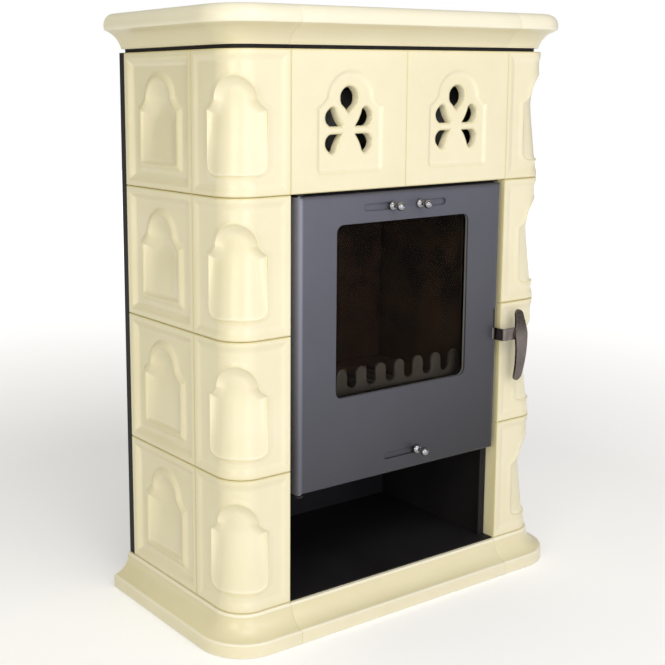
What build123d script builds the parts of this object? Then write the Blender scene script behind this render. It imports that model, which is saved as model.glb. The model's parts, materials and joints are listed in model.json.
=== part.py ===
"""Tiled wood stove: glazed tiles round a steel body, a hinged glass door and an open wood store below it.

Millimetres, +Z up, front towards -Y. The origin is on the floor, under the middle of the overall box.
Depths called "back" are counted from the glazed face of the front tiles, towards the wall.
"""

import os
from math import cos, radians, sin

from build123d import *

os.makedirs("parts", exist_ok=True)

# ---------------------------------------------------------------- driving dimensions

# Glazed tiles
tile_rows = 4
tile_height = 220.0
corner_leg = 110.0  # each leg of a corner tile, from the sharp corner that its rounding takes off
side_tile_width = 207.0
frieze_tile_width = 234.0
corner_radius = 48.0
tile_depth = 34.0  # glazed face to the back of the rim
tile_wall = 23.0
tile_rim = 14.0
tile_joint = 1.2
tile_edge = 2.0  # bevel of the glazed edges

# Relief of the tiles
border_width = 13.0
field_depth = 4.0
corner_field_depth = 2.5
niche_foot = 32.0  # above the tile's lower edge
niche_width = 128.0
niche_height = 153.0
niche_shoulder = 98.0  # height of the straight sides
niche_neck = 88.0  # width of the round head where it leaves the shoulders
niche_neck_height = 114.0
niche_shoulder_sag = 2.5  # of the short arc from a shoulder to the neck
niche_rim = 9.0
niche_depth = 16.0  # at the shoulders, where it is deepest
niche_foot_depth = 5.0
niche_head_depth = 8.0
corner_niche_width = 100.0
corner_niche_neck = 68.0
corner_niche_radius = 55.0  # plan radius of the floor of a corner niche
corner_niche_fillet = 16.0  # of its two lower corners

# Pierced rosette of the frieze tiles, heights above the tile's lower edge
rosette_bar = 12.0  # between the upper and the lower petals
rosette_middle = 95.0
petal_inner = 12.0  # from the tile's middle line
petal_outer = 48.0
petal_height = 30.0
drop_width = 38.0
drop_foot = 121.0
drop_height = 42.0
frieze_wall = 12.0  # round the holes
frieze_recess = 3.0

# Plinth
plinth_height = 60.0
plinth_lip = 23.0
plinth_reach = 33.0
plinth_top_reach = 4.0
plinth_cove_reach = 10.5  # middle of the cove
plinth_cove_height = 35.5
ceramic_shell = 15.0
foot_bevel = 2.5

# Cornice
cornice_height = 58.0
cornice_reach = 28.0
cornice_foot_reach = -5.0
cornice_step = 26.0  # height of the cove under the round edge
cornice_step_reach = 15.0
cornice_round = 20.0  # radius of the round edge
cornice_round_foot = 31.0
cornice_inner = 46.0
cornice_rest = 24.0  # inner edge of its foot
cornice_cove_reach = 1.0  # middle of the cove
cornice_cove_height = 13.0
cornice_joint = 6.0  # dark steel plate between tiles and cornice

# Steel body
sheet = 2.0
plate = 4.0
back_panel_depth = 16.0
tile_clearance = 14.0  # room between the tiles and the casing, for warm air and clips
casing_front = 38.0
frame_back = 24.0  # front face of the frame that the door closes against
post_gap = 2.0  # between the frame and the corner tiles
post_width = 14.0  # beside the wood store
firebox_opening_width = 380.0
door_overlap = 22.0  # top edge of the door above the firebox opening
hearth_height = 280.0  # of the shelf, above the plinth
store_height = 198.0
store_depth = 300.0
firebox_depth = 289.0
firebox_wall_gap = 10.0  # from the opening's edge out to the firebox wall
smoke_box_front = 60.0
smoke_box_height = 810.0  # of the roof, above the plinth
rail_depth = 24.0

# Firebricks
liner = 25.0
liner_base = 20.0
liner_top = 630.0  # above the plinth
liner_bevel = 2.0
baffle_thickness = 20.0
smoke_gap = 46.0
brick_fit = 0.5

# Grate, ash pan and log guard
grate_width = 220.0
grate_depth = 120.0
grate_bars = 9
grate_slot = 9.0
pan_width = 290.0
pan_height = 52.0
pan_depth = 200.0
pan_grip_width = 70.0
guard_width = 368.0
guard_thickness = 4.0
guard_pitch = 42.6
guard_tooth = 22.0
guard_teeth = 8
guard_top = 362.0  # above the plinth
guard_slot = 35.0

# Flue, at the back
flue_radius = 75.0
flue_length = 50.0
flue_height = 730.0  # above the plinth
flue_flange = 14.0
flue_stop = 1.5  # shoulder that the stove pipe is pushed against

# Top plate
grille_slot = 8.0
grille_length = 90.0
grille_columns = 4
grille_pitch = 20.0
grille_rows = 5
top_recess = 4.0

# Door
door_proud = 2.0
door_gap_side = 12.5
door_gap_top = 5.0
door_foot = 177.0  # above the plinth
door_depth = 20.0
door_skin = 3.0
door_edge_radius = 5.0
window_width = 290.0
window_height = 283.0
window_foot = 324.0  # above the plinth
window_radius = 13.0
pane_margin = 10.0
pane_thickness = 4.0
gasket_thickness = 5.0
gasket_width = 8.0
inner_frame_side = 18.5  # from the door's side edge
inner_frame_end = 6.0
inner_frame_thickness = 3.0
seal_width = 10.0
seal_clearance = 0.3

# Hinges
hinge_inset = 10.0
hinge_pin_radius = 4.0
hinge_bore_clearance = 0.05
hinge_tongue = 4.0
hinge_collar = 2.0
hinge_tongue_radius = 8.0
hinge_below_gap = 2.5

# Air slides
slot_height = 12.0
top_slot_drop = 23.5  # from the door's top edge to the middle of the slots
top_slot_inner = 24.0
top_slot_outer = 90.0
knob_rest = 30.0
top_slide_length = 88.0
foot_slot_rise = 32.0
foot_slot_half = 40.0
foot_knob_rest = 34.0
foot_slide_length = 100.0
slide_height = 20.0
slide_thickness = 2.0
slide_fit = 0.3
guide_wall = 1.7
guide_length_top = 380.0
guide_length_foot = 300.0
knob_stem_radius = 3.0
knob_collar_radius = 8.0
knob_collar = 3.0
knob_ball_radius = 7.0
knob_reach = 32.0
knob_turns = (-60, -20, 20, 62)  # degrees, where the bands of the ball meet

# Handle
handle_pin_inset = 3.5  # from the door's right edge
handle_pin_back = 4.0
handle_pin_radius = 2.5
handle_bore_clearance = 0.05
handle_knuckle_radius = 4.0
handle_notch_width = 9.0
handle_notch_foot = 376.0  # above the plinth
handle_notch_height = 57.0
handle_strap_height = 21.0
handle_strap = 4.0  # thickness of the flat steel
handle_strap_reach = 22.0  # in front of the tiles, to the middle of the metal
handle_strap_length = 29.0
handle_lever_width = 30.0
handle_lever_above = 41.5
handle_lever_below = 88.5
handle_lever_end = 19.0  # its width where the round ends begin
handle_lever_cap = 11.0  # height of the round ends
handle_bend_radius = 3.0
handle_bend = 8.0  # width of the strap's slope towards the lever
handle_lever_bow = 5.0  # of its ends, back from the strap
nose_height = 4.0
nose_length = 28.0
nose_width = 6.0
nose_tilt = 16.0  # degrees towards the firebox when the handle is closed
nose_play = 4.0

# Small steel parts
clip_thickness = 3.0
clip_width = 24.0
screw_head_radius = 5.0
screw_head = 2.5

# ---------------------------------------------------------------- places worked out from them

body_half = corner_leg + frieze_tile_width
body_depth = corner_leg + side_tile_width
rear = body_depth + back_panel_depth
front_y = (plinth_reach - rear - flue_length) / 2
tile_top = plinth_height + tile_rows * tile_height
frieze_foot = tile_top - tile_height
cornice_foot = tile_top + cornice_joint
stove_top = cornice_foot + cornice_height

door_half = frieze_tile_width - door_gap_side
door_low = plinth_height + door_foot
door_high = frieze_foot - door_gap_top
window_low = plinth_height + window_foot
window_high = window_low + window_height
door_face = -door_proud
skin_back = door_face + door_skin
pane_front = skin_back + gasket_thickness
pane_back = pane_front + pane_thickness
inner_frame_back = pane_back + inner_frame_thickness
door_back = door_face + door_depth

casing_half = body_half - tile_depth - tile_clearance
frame_rear = frame_back + plate
post_half = frieze_tile_width - post_gap
store_half = post_half - plate
opening_half = firebox_opening_width / 2
opening_low = plinth_height + hearth_height
opening_high = door_high - door_overlap
box_half = opening_half + firebox_wall_gap
box_low = plinth_height + store_height
shelf_top = opening_low + plate
base_top = shelf_top + liner_base
box_roof = plinth_height + smoke_box_height
box_back = firebox_depth - plate
brick_top = plinth_height + liner_top
rail_foot = frieze_foot - plate
hinge_x = -door_half + hinge_inset
hinge_back = door_proud + 2 * hinge_pin_radius
flue_z = plinth_height + flue_height
top_slot_z = door_high - top_slot_drop
foot_slot_z = door_low + foot_slot_rise


def y_at(back):
    """Y of a plane that lies this far behind the glazed face of the front tiles."""
    return front_y + back


def block(x_low, x_high, back_low, back_high, z_low, z_high, mode=Mode.ADD):
    """Rectangular plate or cut between these limits."""
    centre = ((x_low + x_high) / 2, y_at((back_low + back_high) / 2), (z_low + z_high) / 2)
    with Locations(centre):
        Box(x_high - x_low, back_high - back_low, z_high - z_low, mode=mode)


def save(piece, name):
    """Label a finished piece and write it to a file of its own."""
    piece.part.label = name
    export_step(piece.part, f"parts/{name}.step")


def save_pair(left_piece, name):
    """Write a left-hand piece and its mirror image."""
    save(left_piece, f"{name}_left")
    with BuildPart() as right_piece:
        mirror(left_piece.part, about=Plane.YZ)
    save(right_piece, f"{name}_right")


# ---------------------------------------------------------------- outlines used more than once


def arch(width, neck_width, margin=0.0):
    """Shouldered arch, the middle of its foot at the origin, grown all round by the margin."""
    half = width / 2
    neck = neck_width / 2
    head = niche_height - niche_neck_height
    with BuildSketch() as shape:
        with BuildLine():
            Polyline((0, 0), (half, 0), (half, niche_shoulder))
            SagittaArc((half, niche_shoulder), (neck, niche_neck_height), niche_shoulder_sag)
            ThreePointArc(
                (neck, niche_neck_height),
                (neck * 0.72, niche_neck_height + head * 0.7),
                (0, niche_height),
            )
            mirror(about=Plane.YZ)
        make_face()
        if margin:
            offset(amount=margin)
    return shape.sketch


def rosette():
    """Drop over four petals, heights counted from the tile's lower edge."""
    half_drop = drop_width / 2
    flat = rosette_middle + rosette_bar / 2
    span = petal_outer - petal_inner
    tip = flat + petal_height
    with BuildSketch() as shape:
        with BuildLine():
            Line((0, drop_foot), (half_drop * 0.85, drop_foot + drop_height * 0.36))
            ThreePointArc(
                (half_drop * 0.85, drop_foot + drop_height * 0.36),
                (half_drop * 0.93, drop_foot + drop_height * 0.66),
                (0, drop_foot + drop_height),
            )
            mirror(about=Plane.YZ)
        make_face()
        with BuildLine():
            Line((petal_inner, flat), (petal_outer - span * 0.3, flat))
            ThreePointArc(
                (petal_outer - span * 0.3, flat),
                (petal_outer, flat + petal_height * 0.42),
                (petal_outer - span * 0.2, flat + petal_height * 0.88),
            )
            ThreePointArc(
                (petal_outer - span * 0.2, flat + petal_height * 0.88),
                (petal_outer - span * 0.42, tip),
                (petal_inner + span * 0.4, flat + petal_height * 0.87),
            )
            ThreePointArc(
                (petal_inner + span * 0.4, flat + petal_height * 0.87),
                (petal_inner + span * 0.24, flat + petal_height * 0.4),
                (petal_inner, flat),
            )
        petal_face = make_face()
        mirrored = mirror(petal_face, about=Plane.YZ)
        lower = Plane(origin=(0, rosette_middle, 0), z_dir=(0, 1, 0))
        mirror([petal_face, mirrored], about=lower)
    return shape.sketch


def niche_floor():
    """Heights and depths of the niche's floor, from its foot to its head."""
    return (
        (0.0, niche_foot_depth),
        (niche_shoulder, niche_depth),
        (niche_height, niche_head_depth),
    )


# ---------------------------------------------------------------- tiles

arch_shape = arch(niche_width, niche_neck)
rim_shape = arch(niche_width, niche_neck, niche_rim)
rosette_shape = rosette()


def tile_blank(width):
    """Flat tile with an open back: X across, Y up from its lower edge, glazed face at Z = 0."""
    cut_width = width - tile_joint
    middle = (0, tile_height / 2)
    with BuildPart() as blank:
        with BuildSketch(Plane.XY.offset(-tile_depth)):
            with Locations(middle):
                Rectangle(cut_width, tile_height)
        extrude(amount=tile_depth)
        chamfer(blank.faces().sort_by(Axis.Z)[-1].edges(), tile_edge)
        with BuildSketch(Plane.XY.offset(-tile_depth)):
            with Locations(middle):
                Rectangle(cut_width - 2 * tile_rim, tile_height - 2 * tile_rim)
        extrude(amount=tile_depth - tile_wall, mode=Mode.SUBTRACT)
    return blank.part


def niche_cutter():
    """What the niche takes out of a flat tile: the arch, down to a floor that bends at the shoulders."""
    with BuildPart() as cutter:
        with BuildSketch(Plane.YZ):
            with BuildLine():
                floor = [(niche_foot + up, -depth) for up, depth in niche_floor()]
                Polyline((niche_foot, 1), *floor, (niche_foot + niche_height, 1), close=True)
            make_face()
        extrude(amount=niche_width, both=True)
        with BuildSketch(Plane.XY.offset(1)):
            with Locations((0, niche_foot)):
                add(arch_shape)
        extrude(amount=-tile_wall, mode=Mode.INTERSECT)
    return cutter.part


def cut_field(width, depth):
    """Sink the field between the border and the rim of the niche, in the flat tile that is being built."""
    with BuildSketch() as field:
        with Locations((0, tile_height / 2)):
            Rectangle(width - tile_joint - 2 * border_width, tile_height - 2 * border_width)
        with Locations((0, niche_foot)):
            add(rim_shape, mode=Mode.SUBTRACT)
    extrude(field.sketch, amount=-depth, mode=Mode.SUBTRACT)


niche_tool = niche_cutter()

with BuildPart() as side_tile:
    add(tile_blank(side_tile_width))
    cut_field(side_tile_width, field_depth)
    add(niche_tool, mode=Mode.SUBTRACT)

with BuildPart() as frieze_tile:
    add(tile_blank(frieze_tile_width))
    with BuildSketch(Plane.XY.offset(-tile_depth)):
        with Locations((0, niche_foot + niche_height / 2)):
            Rectangle(niche_width + 2 * niche_rim, niche_height + niche_rim)
    extrude(amount=tile_depth - frieze_wall - frieze_recess, mode=Mode.SUBTRACT)
    with BuildSketch():
        with Locations((0, niche_foot)):
            add(arch_shape)
    extrude(amount=-frieze_recess, mode=Mode.SUBTRACT)
    with BuildSketch():
        add(rosette_shape)
    extrude(amount=-tile_depth, mode=Mode.SUBTRACT)


def corner_plan(inset, reach):
    """L of a corner tile's leg, from this far behind the glazed face inwards, its legs this long."""
    with BuildSketch() as plan:
        with Locations((inset, inset)):
            Rectangle(reach - inset, reach - inset, align=(Align.MIN, Align.MIN))
        fillet(plan.vertices().group_by(Axis.X)[0].sort_by(Axis.Y)[0], corner_radius - inset)
    return plan.sketch


leg_end = corner_leg - tile_joint / 2
diagonal_out = Plane(origin=(0, 0, 0), x_dir=(1, -1, 0), z_dir=(-1, -1, 0))
apex = corner_radius * (2**0.5 - 1)  # from the sharp corner to the rounding, along the diagonal
niche_reach = apex + niche_depth + corner_niche_radius


def niche_barrel(low, high):
    """Part of the round floor of a corner niche, between two of its heights, as a leaning cylinder."""
    ends = []
    for up, depth in (low, high):
        behind = (apex + depth + corner_niche_radius) / 2**0.5
        ends.append(Vector(behind, behind, niche_foot + up))
    lean = ends[1] - ends[0]
    with Locations(Plane(origin=(ends[0] + ends[1]) / 2, x_dir=(1, -1, 0), z_dir=lean)):
        Cylinder(corner_niche_radius, lean.length + niche_height, mode=Mode.SUBTRACT)


with BuildPart() as corner_niche:
    with BuildSketch(diagonal_out) as corner_arch:
        with Locations((0, niche_foot)):
            add(arch(corner_niche_width, corner_niche_neck))
        fillet(corner_arch.vertices().group_by(Axis.Z)[0], corner_niche_fillet)
    extrude(amount=-niche_reach)
    foot_level, shoulder_level, head_level = niche_floor()
    niche_barrel(foot_level, shoulder_level)
    niche_barrel(shoulder_level, head_level)

with BuildPart() as corner_field:
    with BuildSketch(Plane.XY.offset(border_width)):
        add(corner_plan(0, corner_leg - border_width))
        add(corner_plan(corner_field_depth, corner_leg + border_width), mode=Mode.SUBTRACT)
    extrude(amount=tile_height - 2 * border_width)

with BuildPart() as corner_tile:
    with BuildSketch():
        add(corner_plan(0, leg_end))
        add(corner_plan(tile_depth, corner_leg * 2), mode=Mode.SUBTRACT)
    extrude(amount=tile_height)
    glazed = corner_tile.faces().filter_by(Axis.Z).edges().filter_by(
        lambda edge: min(edge.center().X, edge.center().Y) < apex
    )
    rim_edges = glazed.filter_by(
        lambda edge: edge.geom_type == GeomType.CIRCLE or edge.length > tile_depth * 1.2
    )
    chamfer(rim_edges, tile_edge)
    with BuildSketch(Plane.XY.offset(tile_rim)):
        add(corner_plan(tile_wall, leg_end - tile_rim))
        add(corner_plan(tile_depth, corner_leg * 2), mode=Mode.SUBTRACT)
    extrude(amount=tile_height - 2 * tile_rim, mode=Mode.SUBTRACT)
    add(corner_field.part, mode=Mode.SUBTRACT)
    add(corner_niche.part, mode=Mode.SUBTRACT)

side_tile_y = y_at(corner_leg + side_tile_width / 2)
for side, sign in (("left", -1), ("right", 1)):
    for row in range(tile_rows):
        foot = plinth_height + row * tile_height
        face = Plane(origin=(sign * body_half, side_tile_y, foot), x_dir=(0, sign, 0), z_dir=(sign, 0, 0))
        with BuildPart() as placed_side:
            with Locations(face):
                add(side_tile.part)
        save(placed_side, f"side_tile_{side}_{row + 1}")
        turned = Plane(origin=(sign * body_half, front_y, foot), x_dir=(0, 1, 0) if sign > 0 else (1, 0, 0))
        with BuildPart() as placed_corner:
            with Locations(turned):
                add(corner_tile.part)
        save(placed_corner, f"corner_tile_{side}_{row + 1}")
    middle = (sign * frieze_tile_width / 2, front_y, frieze_foot)
    with BuildPart() as placed_frieze:
        with Locations(Plane(origin=middle, x_dir=(1, 0, 0), z_dir=(0, -1, 0))):
            add(frieze_tile.part)
    save(placed_frieze, f"frieze_tile_{side}")

# ---------------------------------------------------------------- plinth and cornice


def plinth_section():
    """Section of the plinth, X outwards from the tile face, Y up: a cove over a lip, hollow behind."""
    with BuildSketch() as section:
        with BuildLine():
            Polyline(
                (plinth_top_reach, plinth_height),
                (-tile_depth, plinth_height),
                (-tile_depth, plinth_height - ceramic_shell),
                (-ceramic_shell / 2, plinth_height - ceramic_shell),
                (plinth_reach - ceramic_shell, ceramic_shell / 2),
                (plinth_reach - ceramic_shell, 0),
                (plinth_reach - foot_bevel, 0),
                (plinth_reach, foot_bevel),
                (plinth_reach, plinth_lip),
            )
            ThreePointArc(
                (plinth_reach, plinth_lip),
                (plinth_cove_reach, plinth_cove_height),
                (plinth_top_reach, plinth_height),
            )
        make_face()
    return section.sketch


def cornice_section():
    """Section of the cornice, X outwards from the tile face, Y up: a cove, a step and a round edge."""
    round_x = cornice_reach - cornice_round
    round_up = cornice_height - cornice_round
    lip = round_x + (cornice_round**2 - (round_up - cornice_round_foot) ** 2) ** 0.5
    with BuildSketch() as section:
        with BuildLine():
            Line((-cornice_inner, cornice_height), (round_x, cornice_height))
            ThreePointArc((round_x, cornice_height), (cornice_reach, round_up), (lip, cornice_round_foot))
            Line((lip, cornice_round_foot), (cornice_step_reach, cornice_step))
            ThreePointArc(
                (cornice_step_reach, cornice_step),
                (cornice_cove_reach, cornice_cove_height),
                (cornice_foot_reach, 0),
            )
            Polyline(
                (cornice_foot_reach, 0),
                (-cornice_rest, 0),
                (-cornice_rest, ceramic_shell),
                (-ceramic_shell / 2, ceramic_shell),
                (ceramic_shell / 2, cornice_height - ceramic_shell),
                (ceramic_shell - cornice_inner, cornice_height - ceramic_shell),
                (ceramic_shell - cornice_inner, 0),
                (-cornice_inner, 0),
                (-cornice_inner, cornice_height),
            )
        make_face()
    return section.sketch


def moulding_pieces(section, foot, name):
    """Two corner pieces and a front piece of a moulding that runs round the front and the sides."""
    corner_x = corner_radius - body_half
    corner_y = y_at(corner_radius)
    seam = frieze_tile_width
    side_start = Plane(origin=(-body_half, corner_y, foot), x_dir=(-1, 0, 0), z_dir=(0, 1, 0))
    front_end = Plane(origin=(-seam - tile_joint / 2, front_y, foot), x_dir=(0, -1, 0), z_dir=(-1, 0, 0))
    front_start = Plane(origin=(seam - tile_joint / 2, front_y, foot), x_dir=(0, -1, 0), z_dir=(-1, 0, 0))
    with BuildPart() as corner_piece:
        with BuildSketch(side_start):
            add(section)
        extrude(amount=rear - corner_radius)
        with BuildSketch(side_start):
            add(section)
        revolve(axis=Axis((corner_x, corner_y, 0), (0, 0, 1)), revolution_arc=90)
        with BuildSketch(front_end):
            add(section)
        extrude(amount=-seam - tile_joint / 2 - corner_x)
    save_pair(corner_piece, name)
    with BuildPart() as front_piece:
        with BuildSketch(front_start):
            add(section)
        extrude(amount=2 * seam - tile_joint)
    save(front_piece, f"{name}_front")


moulding_pieces(plinth_section(), 0, "plinth")
moulding_pieces(cornice_section(), cornice_foot, "cornice")

# ---------------------------------------------------------------- steel body

floor_top = plinth_height + sheet

with BuildPart() as base_tray:
    block(-casing_half, casing_half, casing_front, body_depth, 0, plinth_height)
    block(sheet - casing_half, casing_half - sheet, casing_front + sheet, body_depth - sheet,
          0, plinth_height - sheet, Mode.SUBTRACT)
    block(-post_half, post_half, sheet, store_depth, plinth_height, floor_top)
save(base_tray, "base_tray")

with BuildPart() as store_lining:
    block(-store_half, store_half, frame_rear, store_depth, floor_top, box_low)
    inner_half = store_half - sheet
    inner_rear = store_depth - sheet
    block(-inner_half, inner_half, frame_rear, inner_rear, floor_top, box_low, Mode.SUBTRACT)
save(store_lining, "store_lining")

with BuildPart() as casing:
    block(-casing_half, sheet - casing_half, casing_front, body_depth, plinth_height, tile_top)
    block(-casing_half, -post_half, casing_front, casing_front + sheet, plinth_height, tile_top)
    block(-casing_half, -store_half, body_depth - sheet, body_depth, plinth_height, tile_top)
save_pair(casing, "casing")


def hinge_tongue_at(low):
    """Tongue that carries a hinge pin, welded to the front of the frame."""
    with BuildSketch(Plane.XY.offset(low)) as tongue:
        with Locations((hinge_x, y_at(hinge_back))):
            Circle(hinge_tongue_radius)
        with Locations((hinge_x, y_at((hinge_back + frame_back) / 2))):
            Rectangle(2 * hinge_tongue_radius, frame_back - hinge_back)
        with Locations((hinge_x, y_at(hinge_back))):
            Circle(hinge_pin_radius + hinge_bore_clearance, mode=Mode.SUBTRACT)
    extrude(tongue.sketch, amount=hinge_tongue)


foot_tongue = door_low - hinge_below_gap - hinge_tongue
apron_low = door_low + 2 * hinge_below_gap
wide_low = foot_tongue - hinge_tongue
pan_low = box_low + plate
pan_half = pan_width / 2
pan_play = 3.0
nose_z = plinth_height + handle_notch_foot + 2 * handle_strap_height - slide_fit
nose_slot_low = nose_z - nose_play
handle_x = door_half - handle_pin_inset
nose_slot_left = handle_x - nose_length * sin(radians(nose_tilt)) - nose_width

with BuildPart() as front_frame:
    for sign in (-1, 1):
        outer, inner = sorted((sign * post_half, sign * (post_half - post_width)))
        block(outer, inner, frame_back, frame_rear, floor_top, wide_low)
        outer, inner = sorted((sign * post_half, sign * opening_half))
        block(outer, inner, frame_back, frame_rear, wide_low, rail_foot)
        outer, inner = sorted((sign * post_half, sign * store_half))
        block(outer, inner, frame_rear, casing_front, floor_top, rail_foot)
    block(-opening_half, opening_half, frame_back, frame_rear, opening_high, rail_foot)
    block(-opening_half, opening_half, frame_back, frame_rear, apron_low, shelf_top)
    block(-pan_half - pan_play, pan_half + pan_play, frame_back, frame_rear,
          pan_low, pan_low + pan_height + pan_play, Mode.SUBTRACT)
    block(-post_half, post_half, frame_back - 2 * hinge_tongue, casing_front, rail_foot, frieze_foot)
    block(-post_half, post_half, tile_depth, casing_front, frieze_foot, frieze_foot + rail_depth)
    block(nose_slot_left, store_half - brick_fit, frame_back, frame_rear,
          nose_slot_low, nose_slot_low + nose_height + 2 * nose_play, Mode.SUBTRACT)
    hinge_tongue_at(rail_foot)
    hinge_tongue_at(foot_tongue)
save(front_frame, "front_frame")

with BuildPart() as firebox_floor:
    block(-store_half, store_half, frame_rear, store_depth, box_low, pan_low)
save(firebox_floor, "firebox_floor")

with BuildPart() as firebox_wall:
    block(-box_half - plate, box_half + plate, frame_rear, firebox_depth, pan_low, box_roof)
    block(-box_half, box_half, frame_rear, box_back, pan_low, box_roof, Mode.SUBTRACT)
    block(-store_half, store_half, frame_rear, smoke_box_front, rail_foot, box_roof, Mode.SUBTRACT)
    with Locations(Plane(origin=(0, y_at(box_back), flue_z), x_dir=(-1, 0, 0), z_dir=(0, 1, 0))):
        Cylinder(flue_radius - sheet, 4 * plate, mode=Mode.SUBTRACT)
save(firebox_wall, "firebox_wall")

ledge_low = brick_top + baffle_thickness + sheet

with BuildPart() as smoke_hood:
    block(-box_half, box_half, frame_rear, smoke_box_front + plate, ledge_low, ledge_low + plate)
    block(-box_half, box_half, smoke_box_front, smoke_box_front + plate, ledge_low, box_roof)
    block(-box_half - plate, box_half + plate, smoke_box_front, firebox_depth, box_roof, box_roof + plate)
save(smoke_hood, "smoke_hood")

grate_half = grate_width / 2
grate_front = (frame_rear + box_back - grate_depth) / 2
grate_rear = grate_front + grate_depth
grate_rest = 10.0

with BuildPart() as hearth_shelf:
    block(-box_half, box_half, frame_rear, box_back, opening_low, shelf_top)
    block(grate_rest - grate_half, grate_half - grate_rest, grate_front + grate_rest, grate_rear - grate_rest,
          opening_low, shelf_top, Mode.SUBTRACT)
save(hearth_shelf, "hearth_shelf")

with BuildPart() as flue_collar:
    with BuildSketch(Plane.XY):
        with BuildLine():
            inner = flue_radius - sheet
            Polyline(
                (inner, firebox_depth),
                (flue_radius + flue_flange, firebox_depth),
                (flue_radius + flue_flange, firebox_depth + plate),
                (flue_radius + flue_stop, firebox_depth + plate),
                (flue_radius + flue_stop, rear),
                (flue_radius, rear),
                (flue_radius, rear + flue_length),
                (inner, rear + flue_length),
                close=True,
            )
        make_face()
    revolve(axis=Axis.Y)
flue_at = Location((0, front_y, flue_z))
with BuildPart() as placed_collar:
    with Locations(flue_at):
        add(flue_collar.part)
save(placed_collar, "flue_collar")

flue_hole = flue_radius + sheet
louvre_width = 60.0
louvre_height = 8.0
louvre_pitch = 20.0
louvre_rise = 60.0
panel_half = body_half - sheet / 2

with BuildPart() as back_panel:
    block(-panel_half, panel_half, body_depth, rear, plinth_height, tile_top)
    block(sheet - panel_half, panel_half - sheet, body_depth, rear - sheet,
          plinth_height + sheet, tile_top - sheet, Mode.SUBTRACT)
    with Locations(Plane(origin=(0, y_at(rear), flue_z), x_dir=(-1, 0, 0), z_dir=(0, 1, 0))):
        Cylinder(flue_hole, 4 * sheet, mode=Mode.SUBTRACT)
    louvres = Plane(origin=(0, y_at(rear), plinth_height + louvre_rise), x_dir=(-1, 0, 0), z_dir=(0, 1, 0))
    with BuildSketch(louvres):
        with GridLocations(louvre_width * 1.5, louvre_pitch, 5, 3):
            Rectangle(louvre_width, louvre_height)
    extrude(amount=-2 * sheet, mode=Mode.SUBTRACT)
save(back_panel, "back_panel")

plate_inset = 12.0

with BuildPart() as cornice_plate:
    block(plate_inset - body_half, body_half - plate_inset, plate_inset, rear, tile_top, cornice_foot)
    fillet(cornice_plate.edges().filter_by(Axis.Z).group_by(Axis.Y)[0], corner_radius - plate_inset)
    block(cornice_inner + sheet - body_half, body_half - cornice_inner - sheet, cornice_inner + sheet,
          body_depth - sheet, tile_top, cornice_foot, Mode.SUBTRACT)
save(cornice_plate, "cornice_plate")

top_half = body_half - cornice_inner - tile_joint
top_front = cornice_inner + tile_joint
top_z = stove_top - top_recess

with BuildPart() as top_plate:
    block(-top_half, top_half, top_front, rear, cornice_foot, top_z)
    block(sheet - top_half, top_half - sheet, top_front + sheet, rear - sheet, cornice_foot, top_z - sheet,
          Mode.SUBTRACT)
    with BuildSketch(Plane(origin=(0, y_at((top_front + rear) / 2), top_z))):
        with GridLocations(grille_length + grille_pitch, grille_pitch, grille_columns, grille_rows):
            Rectangle(grille_length, grille_slot)
    extrude(amount=-2 * sheet, mode=Mode.SUBTRACT)
save(top_plate, "top_plate")

with BuildPart() as tile_clips:
    for sign in (-1, 1):
        for row in range(tile_rows):
            low = plinth_height + row * tile_height + tile_rim / 2
            outer, inner = sorted((sign * casing_half, sign * (body_half - tile_depth)))
            for share in (-1, 1):
                back = corner_leg + side_tile_width / 2 + share * side_tile_width / 3
                block(outer, inner, back - clip_width / 2, back + clip_width / 2, low, low + clip_thickness)
            across = sign * (body_half - corner_leg + clip_width)
            block(across - clip_width / 2, across + clip_width / 2, tile_depth, casing_front,
                  low, low + clip_thickness)
save(tile_clips, "tile_clips")

# ---------------------------------------------------------------- firebricks, grate, pan, log guard

guard_front = frame_rear + sheet
guard_rear = guard_front + guard_thickness
brick_front = guard_rear + sheet
brick_half = box_half - brick_fit
brick_rear = box_back - brick_fit

with BuildPart() as liner_base_brick:
    block(-brick_half, brick_half, brick_front, brick_rear, shelf_top, base_top)
    block(-grate_half, grate_half, grate_front, grate_rear, shelf_top, base_top, Mode.SUBTRACT)
save(liner_base_brick, "liner_base")

with BuildPart() as side_brick:
    block(-brick_half, liner - box_half, brick_front, brick_rear - liner - brick_fit, base_top, brick_top)
    chamfer(side_brick.faces().sort_by(Axis.X)[-1].edges(), liner_bevel)
save_pair(side_brick, "liner")

with BuildPart() as back_brick:
    block(-brick_half, brick_half, brick_rear - liner, brick_rear, base_top, brick_top)
    chamfer(back_brick.faces().sort_by(Axis.Y)[0].edges().filter_by(Axis.X), liner_bevel)
save(back_brick, "liner_back")

with BuildPart() as baffle:
    block(-brick_half, brick_half, smoke_box_front + plate + smoke_gap, brick_rear,
          brick_top, brick_top + baffle_thickness)
    chamfer(baffle.faces().sort_by(Axis.Y)[0].edges().filter_by(Axis.X), liner_bevel)
save(baffle, "baffle")

grate_thickness = 12.0

with BuildPart() as grate:
    block(brick_fit - grate_half, grate_half - brick_fit, grate_front + brick_fit, grate_rear - brick_fit,
          shelf_top, shelf_top + grate_thickness)
    with BuildSketch(Plane(origin=(0, y_at((grate_front + grate_rear) / 2), shelf_top + grate_thickness))):
        with GridLocations((grate_width - 2 * grate_rest) / grate_bars, 1, grate_bars, 1):
            Rectangle(grate_slot, grate_depth - 3 * grate_rest)
    extrude(amount=-grate_thickness, mode=Mode.SUBTRACT)
save(grate, "grate")

pan_flange = 8.0

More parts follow.
